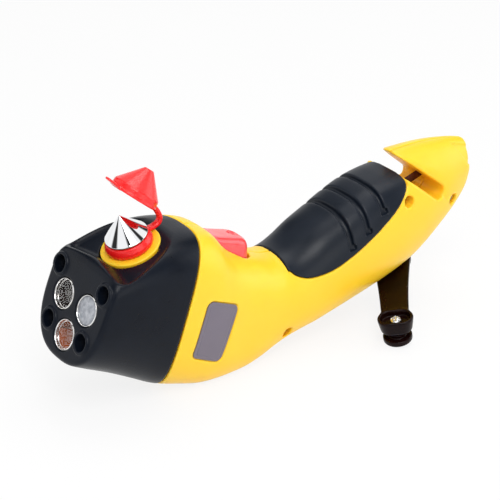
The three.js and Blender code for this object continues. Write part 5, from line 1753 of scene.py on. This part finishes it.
@dataclass
class Hammer:
    """The hammer tip in its yellow collar, the red ring, the strap and the safety cap."""

    tip_radius: float = 7.8
    tip_height: float = 8.2
    tip_edge: float = 0.8
    tip_chamfer: float = 0.15
    tip_land: float = 0.25
    tip_shoulder: Point2 = (0.3, 0.05)
    tip_nose: Point2 = (0.45, 0.35)
    shank_radius: float = 4.0
    shank_length: float = 15.0
    collar_radius: float = 10.95
    collar_drop: float = 5.2
    collar_thickness: float = 4.4
    collar_round: float = 0.6
    socket_wall: float = 2.4
    gap: float = 0.3
    ring_radius: float = 8.7
    ring_top_radius: float = 7.9
    ring_drop: float = 1.25
    # the ring's outside above its foot: how far in and how far up its corners stand
    ring_corners: tuple = ((0.1, 0.0), (0.0, 1.5), (0.35, 2.6))
    ring_round: float = 0.5
    sides: int = 96
    cap_radius: float = 8.75
    cap_wall: float = 0.7
    cap_skirt: float = 2.8
    cap_cone: float = 8.5
    cap_point: float = 1.6
    cap_point_cut: float = 0.1
    cap_rim: float = -0.8
    cap_draft: float = 0.04
    cap_bead: float = 0.45
    cap_bead_inset: float = 0.15
    cap_room: float = 13.0
    cap_step: float = 0.2
    cap_kept_faces: float = 0.6
    soft_edge: float = 0.3
    fine_edge: float = 0.25
    rim_edge: float = 0.35
    tab_length: float = 5.4
    tab_lift: float = 7.0
    tab_rise: float = 0.1
    tab_width: float = 4.4
    tab_corner: float = 2.1
    tab_thickness: float = 0.85
    tab_round: float = 0.45
    tab_blend: float = 0.8
    open_degrees: float = 58.7
    hinge_reach: float = 14.6
    hinge_rise: float = -0.85
    strap_width: float = 2.5
    strap_thickness: float = 1.8
    strap_corner: float = 0.7
    strap_corner_steps: int = 5
    strap_step: float = 0.1
    # the strap's root inside the ring and above its foot, and its end and its swing outside the cap's rim
    strap_root: Point2 = (0.5, 1.4)
    strap_bite: float = 0.2
    strap_swing: float = 2.0
    # the strap's lowest stretch, off its root, and its bend, off the hinge's reach and the lowest stretch
    strap_low: Point2 = (2.4, -0.45)
    strap_bend: tuple = ((1.4, 0.5), (0.4, 2.8))
    strap_sharp_degrees: float = 60.0

    def cap_turn(self) -> Array:
        """Where the opened cap stands in the hammer's frame."""
        return (shift(self.hinge_reach, 0, self.hinge_rise) @ turn_about_y(self.open_degrees)
                @ shift(-self.hinge_reach, 0, self.cap_rim - self.hinge_rise))

    def build_tip(self) -> None:
        """Builds the tip, its collar and the ring."""
        place = HAMMER.matrix()
        r, edge, top = self.tip_radius, self.tip_edge, self.tip_height
        chamfer = self.tip_chamfer
        tip = filleted([(0, -self.shank_length), (self.shank_radius, -self.shank_length),
                        (self.shank_radius, -edge), (r - chamfer, -edge), (r, -edge + chamfer),
                        (r, -self.tip_land), (r - self.tip_shoulder[0], self.tip_shoulder[1]),
                        (self.tip_nose[0], top - self.tip_nose[1]), (0, top)], chamfer)
        tip = lathe(tip, self.sides).placed(place)
        add_piece("hammer_point", tip, Shade.CHROME, "body", ["hammer_tip"])
        bore = self.shank_radius + self.gap
        top, low = -self.collar_drop, -self.collar_drop - self.collar_thickness
        socket = bore + self.socket_wall
        collar = filleted([(bore, -self.shank_length), (socket, -self.shank_length), (socket, low),
                           (self.collar_radius, low), (self.collar_radius, top), (bore, top)],
                          self.collar_round)
        collar = lathe(collar, self.sides).placed(place)
        add_piece("tip_collar", collar, Shade.YELLOW_ABS, "body", ["hammer_collar"])
        low = -self.collar_drop + self.gap
        corners = [(self.ring_radius - inward, low + up) for inward, up in self.ring_corners]
        ring = filleted([(bore, low)] + corners
                        + [(self.ring_top_radius, -self.ring_drop), (bore, -self.ring_drop)], self.ring_round)
        ring = lathe(ring, self.sides).placed(place)
        add_piece("red_ring", ring, Shade.RED_VINYL, "body", ["cap_ring"])

    def build_cap(self) -> None:
        """Builds the safety cap with its pull tab."""
        reach = self.cap_radius + self.tab_length + 1
        side = self.cap_radius + 1
        grid = Grid((-reach - 1, -side, -1), (side, side, self.cap_room), self.cap_step)
        r = np.sqrt(grid.x**2 + grid.y**2)
        apex = self.cap_skirt + self.cap_cone
        lean = math.atan2(self.cap_radius - self.cap_point, self.cap_cone)
        cone = (r - self.cap_radius) * math.cos(lean) + (grid.z - self.cap_skirt) * math.sin(lean)
        skirt = r - self.cap_radius + self.cap_draft * (grid.z - 1)
        form = both(cone, skirt, self.soft_edge)
        outside = both(form, grid.z - apex + self.cap_point_cut, self.fine_edge)
        shell = both(without(outside, form + self.cap_wall, self.fine_edge), -grid.z, self.rim_edge)
        bead = np.sqrt((r - self.cap_radius + self.cap_bead_inset) ** 2 + (grid.z - self.cap_bead) ** 2)
        shell = either(shell, bead - self.cap_bead, self.soft_edge)
        long = self.tab_length / 2 + 1
        along, above = Lean(-self.cap_radius, self.tab_rise, -self.tab_lift).split(grid.x, grid.z)
        tab = both(rounded_plate(along + self.tab_length - long, grid.y, long, self.tab_width / 2,
                                 self.tab_corner),
                   between(above, 0.0, self.tab_thickness), self.tab_round)
        tab = without(tab, r - self.cap_radius + self.cap_wall)
        made = either(grid.full(shell), grid.full(tab), self.tab_blend)
        surface = surface_of(grid, made, self.cap_kept_faces).placed(HAMMER.matrix() @ self.cap_turn())
        add_piece("cap", surface, Shade.RED_VINYL, "cap", ["safety_cap"])

    def strap_path(self) -> Array:
        """The strap's middle line, from the ring over its bend to the cap.

        Returns:
            n by 3 points in the hammer's frame.
        """
        turn = self.cap_turn()

        def at_cap(x: float) -> Array:
            """A point beside the cap's rim, in the hammer's frame."""
            return (turn @ np.array([x, 0, self.strap_thickness / 2, 1.0]))[:3]

        inside, above = self.strap_root
        start = np.array([self.ring_radius - inside, 0, -self.collar_drop + self.gap + above])
        low = start + [self.strap_low[0], 0, self.strap_low[1]]
        bend = [np.array([self.hinge_reach - inward, 0, low[2] + up]) for inward, up in self.strap_bend]
        knots = [start, low, *bend, at_cap(self.cap_radius + self.strap_swing),
                 at_cap(self.cap_radius - self.strap_bite)]
        fine = []
        for i in range(len(knots) - 1):
            a, b, c, d = knots[max(i - 1, 0)], knots[i], knots[i + 1], knots[min(i + 2, len(knots) - 1)]
            fine += [eased(a, b, c, d, t) for t in np.arange(0, 1, self.strap_step)]
        return np.array(fine + [knots[-1]])

    def build_strap(self) -> None:
        """Builds the strap that ties the cap to the ring, bent to reach the cap where it stands open."""
        path = self.strap_path()
        ahead = np.gradient(path, axis=0)
        ahead /= np.linalg.norm(ahead, axis=1)[:, None]
        across = np.tile([0.0, 1.0, 0.0], (len(path), 1))
        up = np.cross(ahead, across)
        section = [(s * self.strap_width / 2, u * self.strap_thickness / 2)
                   for s, u in rounded_square(self.strap_corner, self.strap_corner_steps)]
        to_row = HAMMER.matrix()
        surface = swept(path, section, across, up).placed(to_row)
        piece = add_piece("strap", surface, Shade.RED_VINYL, None, ["cap_strap"],
                          self.strap_sharp_degrees)
        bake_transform(piece)

    def build(self) -> None:
        """Builds and dresses the whole hammer end."""
        self.build_tip()
        self.build_cap()
        self.build_strap()


def rounded_square(radius: float, steps: int) -> list[Point2]:
    """A square from -1 to 1 with round corners.

    Args:
        radius: the corners' radius.
        steps: how many steps a corner takes.

    Returns:
        The outline.
    """
    made = []
    for cx, cy, start in ((1, 1, 0), (-1, 1, 1), (-1, -1, 2), (1, -1, 3)):
        for k in range(steps + 1):
            angle = (start + k / steps) * math.pi / 2
            across = cx * (1 - radius) + radius * math.cos(angle)
            made.append((across, cy * (1 - radius) + radius * math.sin(angle)))
    return made


@dataclass
class Crank:
    """The crank's arm with its cup-shaped end, its screws and its knob."""

    screws: Screws
    arm_length: float = 39.0
    turn: float = 230.8
    arm_top: float = -1.1
    arm_thickness: float = 2.4
    hub_thickness: float = 3.6
    hub_radius: float = 7.7
    low: tuple = (-9.0, -9.0, -9.0)
    high: tuple = (46.0, 9.0, 1.0)
    step: float = 0.3
    kept_faces: float = 0.5
    arm_waist: float = 0.5
    arm_round: float = 0.7
    soft_round: float = 0.8
    end_half_width: float = 5.3
    cup_half_length: float = 7.0
    cup_half_width: float = 4.7
    cup_wall: float = 1.3
    cup_floor: float = 1.6
    seat_rise: float = 3.9
    seat_round: float = 0.5
    cup_depth: float = 6.1
    cup_taper: float = 0.9
    taper_power: float = 1.3
    taper_shares: Point2 = (0.6, 0.5)
    shaft_hole: float = 2.8
    shaft_hole_edge: float = 0.3
    screw_hole: float = 1.5
    screw_hole_edge: float = 0.2
    gap: float = 0.3
    seat_gap: float = 0.1
    screw_clear: float = 2.0
    hub_screw: tuple = (3.4, 1.5, 9.0)
    knob_screw: Point2 = (2.35, 1.7)
    knob_bottom: float = -11.82
    knob_top_radius: float = 4.3
    knob_waist: float = 3.4
    knob_flange: float = 5.7
    knob_round: float = 0.6
    knob_sides: int = 80
    flange_thickness: float = 2.2
    flange_dish: tuple = (4.3, 4.1, 0.35)

    def build_arm(self) -> None:
        """Builds the arm and its cup in one moulding."""
        grid = Grid(self.low, self.high, self.step)
        x, y, z = grid.x, grid.y, grid.z
        top = self.arm_top
        share = np.clip(x / self.arm_length, 0, 1)
        half = self.hub_radius + (self.end_half_width - self.hub_radius) * share
        half = half - self.arm_waist * np.sin(share * math.pi)
        strip = both(np.abs(y) - half, between(x, 0, self.arm_length))
        strip = both(strip, between(z, top - self.arm_thickness, top), self.arm_round)
        hub = both(round_bar(x, y, self.hub_radius), between(z, top - self.hub_thickness, top),
                   self.soft_round)
        made = either(strip, hub, self.soft_round)
        low = top - self.cup_depth
        rise = np.clip((z - low) / self.cup_depth, 0, 1)
        draw = self.cup_taper * (1 - rise) ** self.taper_power
        straight = self.cup_half_length - self.cup_half_width
        reach = np.maximum(np.abs(y) - straight + draw * self.taper_shares[0], 0)
        cup = np.sqrt((x - self.arm_length) ** 2 + reach**2) - self.cup_half_width
        cup = cup + draw * self.taper_shares[1]
        made = either(made, both(cup, between(z, low, top), self.soft_round), self.soft_round)
        hollow = both(cup + self.cup_wall, -(z - low - self.seat_rise), self.seat_round)
        made = without(made, hollow, self.arm_round)
        made = without(made, round_bar(x - self.arm_length, y, self.screw_hole), self.screw_hole_edge)
        made = without(made, round_bar(x, y, self.shaft_hole), self.shaft_hole_edge)
        place = CRANK.matrix() @ turn_about_z(self.turn)
        surface = surface_of(grid, grid.full(made), self.kept_faces).placed(place)
        add_piece("arm", surface, Shade.BLACK_NYLON, "crank", ["crank_arm"])

    def build_knob(self) -> None:
        """Builds the knob with its broad round flange."""
        top = self.arm_top - self.cup_depth - self.gap
        bottom = self.knob_bottom
        flange_top = bottom + self.flange_thickness
        bore, floor = self.screw_hole, bottom + self.cup_floor
        outer, inner, depth = self.flange_dish
        knob = filleted([(bore, floor), (bore, top), (self.knob_top_radius, top),
                         (self.knob_waist, (top + flange_top) / 2), (self.knob_waist, flange_top),
                         (self.knob_flange, flange_top), (self.knob_flange, bottom), (outer, bottom),
                         (inner, bottom + depth), (0, bottom + depth), (0, floor)], self.knob_round)
        place = CRANK.matrix() @ turn_about_z(self.turn) @ shift(self.arm_length)
        knob = lathe(knob, self.knob_sides).placed(place)
        add_piece("knob", knob, Shade.BLACK_NYLON, "knob", ["crank_knob"])

    def build(self) -> None:
        """Builds and dresses the crank."""
        self.build_arm()
        self.build_knob()
        base = CRANK.matrix() @ turn_about_z(self.turn)
        hub = self.screws.screw(*self.hub_screw)
        over = np.diag([1.0, -1.0, -1.0, 1.0])
        place = base @ shift(0, 0, self.arm_top - self.hub_thickness - self.gap) @ over
        add_piece("screw_hub", hub.placed(place), Shade.ZINC, "crank", ["hub_screw"])
        low = self.arm_top - self.cup_depth
        shank = self.seat_rise - self.cup_depth - self.knob_bottom - self.screw_clear
        pan = self.screws.screw(*self.knob_screw, shank)
        place = base @ shift(self.arm_length, 0, low + self.seat_rise + self.seat_gap)
        add_piece("screw_knob", pan.placed(place), Shade.ZINC, "crank", ["knob_screw"])


@dataclass
class Blade:
    """The belt cutter's blade, ground to an edge along the side that meets the belt."""

    along: float = 14.6
    turn: float = 55.0
    length: float = 15.0
    half_width: float = 1.8
    half_thickness: float = 0.35
    bevel: float = 1.2
    ground_half: float = 0.03
    edge_chamfer: float = 0.15
    slot_middle: float = 3.0
    sharp_degrees: float = 15.0

    def build(self) -> None:
        """Builds and dresses the blade."""
        w, t, c, g = self.half_width, self.half_thickness, self.edge_chamfer, self.ground_half
        section = [(-w, g), (self.bevel - w, t), (w - c, t), (w, t - c), (w, c - t), (w - c, -t),
                   (self.bevel - w, -t), (-w, -g)]
        ends = np.array([[-self.length / 2, 0, 0], [self.length / 2, 0, 0]])
        up = np.tile([0.0, 1.0, 0.0], (2, 1))
        across = np.tile([0.0, 0.0, -1.0], (2, 1))
        place = SLOT.matrix() @ shift(self.along, 0, self.slot_middle) @ turn_about_y(-self.turn)
        surface = swept(ends, section, across, up).placed(place)
        # the blade's dark brown colour is painted shade and a painted reflection of the orange slot
        add_piece("blade", surface, Shade.BLADE_STEEL_PAINTED_SHADE, "body", ["cutter_blade"],
                  self.sharp_degrees)


class Insides:
    """The CAD's own pieces that stay as they are and only get their real finishes."""

    FINISHES = {
        Shade.STRIP_STEEL: ("dynamo_can",),
        Shade.ZINC: ("crank_shaft", "arbor_1", "arbor_2"),
        Shade.BRONZE: ("shaft_bush",),
        Shade.ACETAL: ("crank_gear", "idler_gear_1", "idler_gear_2", "gear_plate"),
        Shade.FERRITE: ("dynamo_rotor", "foot_magnet"),
        Shade.COPPER: ("dynamo_coil",),
        Shade.BOARD: ("lamp_board", "charge_board"),
        Shade.SLEEVE: ("battery_pack",),
        Shade.BLACK_NYLON: ("switch_module",),
        Shade.LEAD_PVC: ("lamp_lead", "dynamo_lead"),
    }

    def build(self) -> None:
        """Dresses the pieces."""
        for shade, nodes in self.FINISHES.items():
            for node in nodes:
                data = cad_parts[node].data
                data.materials.clear()
                data.materials.append(shade.value.material())
                LOG.info("%s: dressed as %s", node, shade.value.name)


# Studio


def calculated(tree: bpy.types.NodeTree, operation: str, first: object,
               second: object = 0.0) -> bpy.types.NodeSocket:
    """What an operation makes of one or two values, each a socket or a number."""
    return add_node(tree, "ShaderNodeMath", {0: first, 1: second}, operation=operation).outputs[0]


def blended(tree: bpy.types.NodeTree, share: object, first: bpy.types.NodeSocket,
            second: bpy.types.NodeSocket) -> bpy.types.NodeSocket:
    """Two shaders mixed."""
    return add_node(tree, "ShaderNodeMixShader", {0: share, 1: first, 2: second}).outputs[0]


@dataclass
class Studio:
    """A pale floor, soft lamps and the camera at the photograph's angle."""

    camera_place: tuple = (-309.7, -416.1, 310.7)
    camera_right: tuple = (0.798, -0.600, 0.040)
    camera_back: tuple = (-0.549, -0.701, 0.455)
    clip: Point2 = (0.05, 20.0)
    lens: float = 115.2
    sensor: float = 36.0
    floor_size: float = 4.0
    floor_tone: float = 0.8
    floor_white: float = 0.84
    lamps: tuple = (
        ("key", (-0.25, -0.45, 0.75), 0.45, 3.9),
        ("top", (0.25, 0.1, 0.9), 0.5, 2.3),
        ("side", (0.75, -0.35, 0.3), 0.5, 1.0),
        ("low", (0.15, -0.75, 0.12), 0.5, 1.0),
    )
    lamp_aim: tuple = (0.03, 0.0, 0.04)
    ambient: float = 0.64
    cards: float = 5.0
    card_range: Point2 = (0.15, 0.7)
    card_tones: Point2 = (1.0, 0.03)

    def camera(self) -> None:
        """Stands the camera where the photograph was taken from."""
        back = Vector(self.camera_back).normalized()
        right = Vector(self.camera_right)
        right = (right - back * right.dot(back)).normalized()
        up = back.cross(right)
        data = bpy.data.cameras.new("camera")
        data.lens, data.sensor_width, data.sensor_fit = self.lens, self.sensor, "HORIZONTAL"
        data.clip_start, data.clip_end = self.clip
        made = bpy.data.objects.new("camera", data)
        made.matrix_world = Matrix(((right.x, up.x, back.x, self.camera_place[0] * MM),
                                    (right.y, up.y, back.y, self.camera_place[1] * MM),
                                    (right.z, up.z, back.z, self.camera_place[2] * MM), (0, 0, 0, 1)))
        bpy.context.scene.collection.objects.link(made)
        bpy.context.scene.camera = made

    def floor(self) -> None:
        """Lays the floor: white to the camera, with the object's soft shadow on it."""
        half = self.floor_size / 2
        mesh = bpy.data.meshes.new("floor")
        corners = [(-half, -half, 0), (half, -half, 0), (half, half, 0), (-half, half, 0)]
        mesh.from_pydata(corners, [], [[0, 1, 2, 3]])
        material = bpy.data.materials.new("pale_floor")
        material.use_nodes = True
        tree = material.node_tree
        tree.nodes.clear()
        path = add_node(tree, "ShaderNodeLightPath")
        tone = (self.floor_tone, self.floor_tone, self.floor_tone, 1)
        paint = add_node(tree, "ShaderNodeBsdfDiffuse", {"Color": tone}).outputs[0]
        white = self.glow(tree, "ShaderNodeEmission", 1.0)
        through = calculated(tree, "MAXIMUM", path.outputs["Is Camera Ray"],
                             path.outputs["Is Transmission Ray"])
        shown = calculated(tree, "MAXIMUM", through, path.outputs["Is Glossy Ray"])
        seen = blended(tree, shown, paint, blended(tree, self.floor_white, paint, white))
        add_node(tree, "ShaderNodeOutputMaterial", {"Surface": seen})
        mesh.materials.append(material)
        made = bpy.data.objects.new("floor", mesh)
        bpy.context.scene.collection.objects.link(made)

    def glow(self, tree: bpy.types.NodeTree, kind: str, strength: object) -> bpy.types.NodeSocket:
        """A white light of a strength that is a socket or a number."""
        return add_node(tree, kind, {"Color": (1, 1, 1, 1), "Strength": strength}).outputs[0]

    def world(self) -> None:
        """Sets the world: white behind the object, and dark cards among white ones for what shines."""
        world = bpy.data.worlds.new("studio")
        bpy.context.scene.world = world
        world.use_nodes = True
        tree = world.node_tree
        tree.nodes.clear()
        path = add_node(tree, "ShaderNodeLightPath")
        place = add_node(tree, "ShaderNodeTexCoord").outputs["Generated"]
        way = add_node(tree, "ShaderNodeSeparateXYZ", {0: place})
        turn = calculated(tree, "ARCTAN2", way.outputs["Y"], way.outputs["X"])
        bands = calculated(tree, "SINE", calculated(tree, "MULTIPLY", turn, self.cards))
        card = ranged(tree, bands, self.card_range, self.card_tones)
        cards, plain, white = (self.glow(tree, "ShaderNodeBackground", strength)
                               for strength in (card, self.ambient, 1.0))
        shiny = blended(tree, path.outputs["Is Glossy Ray"], plain, cards)
        straight = calculated(tree, "MAXIMUM", path.outputs["Is Camera Ray"],
                              path.outputs["Is Transmission Ray"])
        add_node(tree, "ShaderNodeOutputWorld", {"Surface": blended(tree, straight, shiny, white)})

    def build(self) -> None:
        """Sets up the studio."""
        self.camera()
        self.floor()
        self.world()
        for name, place, size, power in self.lamps:
            data = bpy.data.lights.new(name, "AREA")
            data.shape, data.size, data.energy = "SQUARE", size, power
            lamp = bpy.data.objects.new(name, data)
            lamp.location = place
            lamp.rotation_mode = "QUATERNION"
            aim = Vector(place) - Vector(self.lamp_aim)
            lamp.rotation_quaternion = aim.to_track_quat("Z", "Y")
            bpy.context.scene.collection.objects.link(lamp)
        bpy.context.scene.view_settings.view_transform = "Standard"


def main() -> None:
    """Builds the dressed flashlight piece by piece."""
    logging.basicConfig(level=logging.INFO, format="%(message)s")
    Studio().build()
    outer = OuterForm()
    cover = HeadCover(outer)
    HeadCover(OuterForm(step=COVER_STEP, rear=COVER_REAR)).build()
    grip = Grip(outer)
    switch = ThumbSwitch(outer)
    label = LabelPlate(outer)
    shells = Shells(outer, cover, grip, switch, label)
    shells.build()
    grip.build()
    switch.build()
    label.build()
    Lamps(cover).build()
    screws = Screws(cover, shells)
    screws.build()
    Hammer().build()
    Crank(screws).build()
    Blade().build()
    Insides().build()


if __name__ == "__main__":
    main()
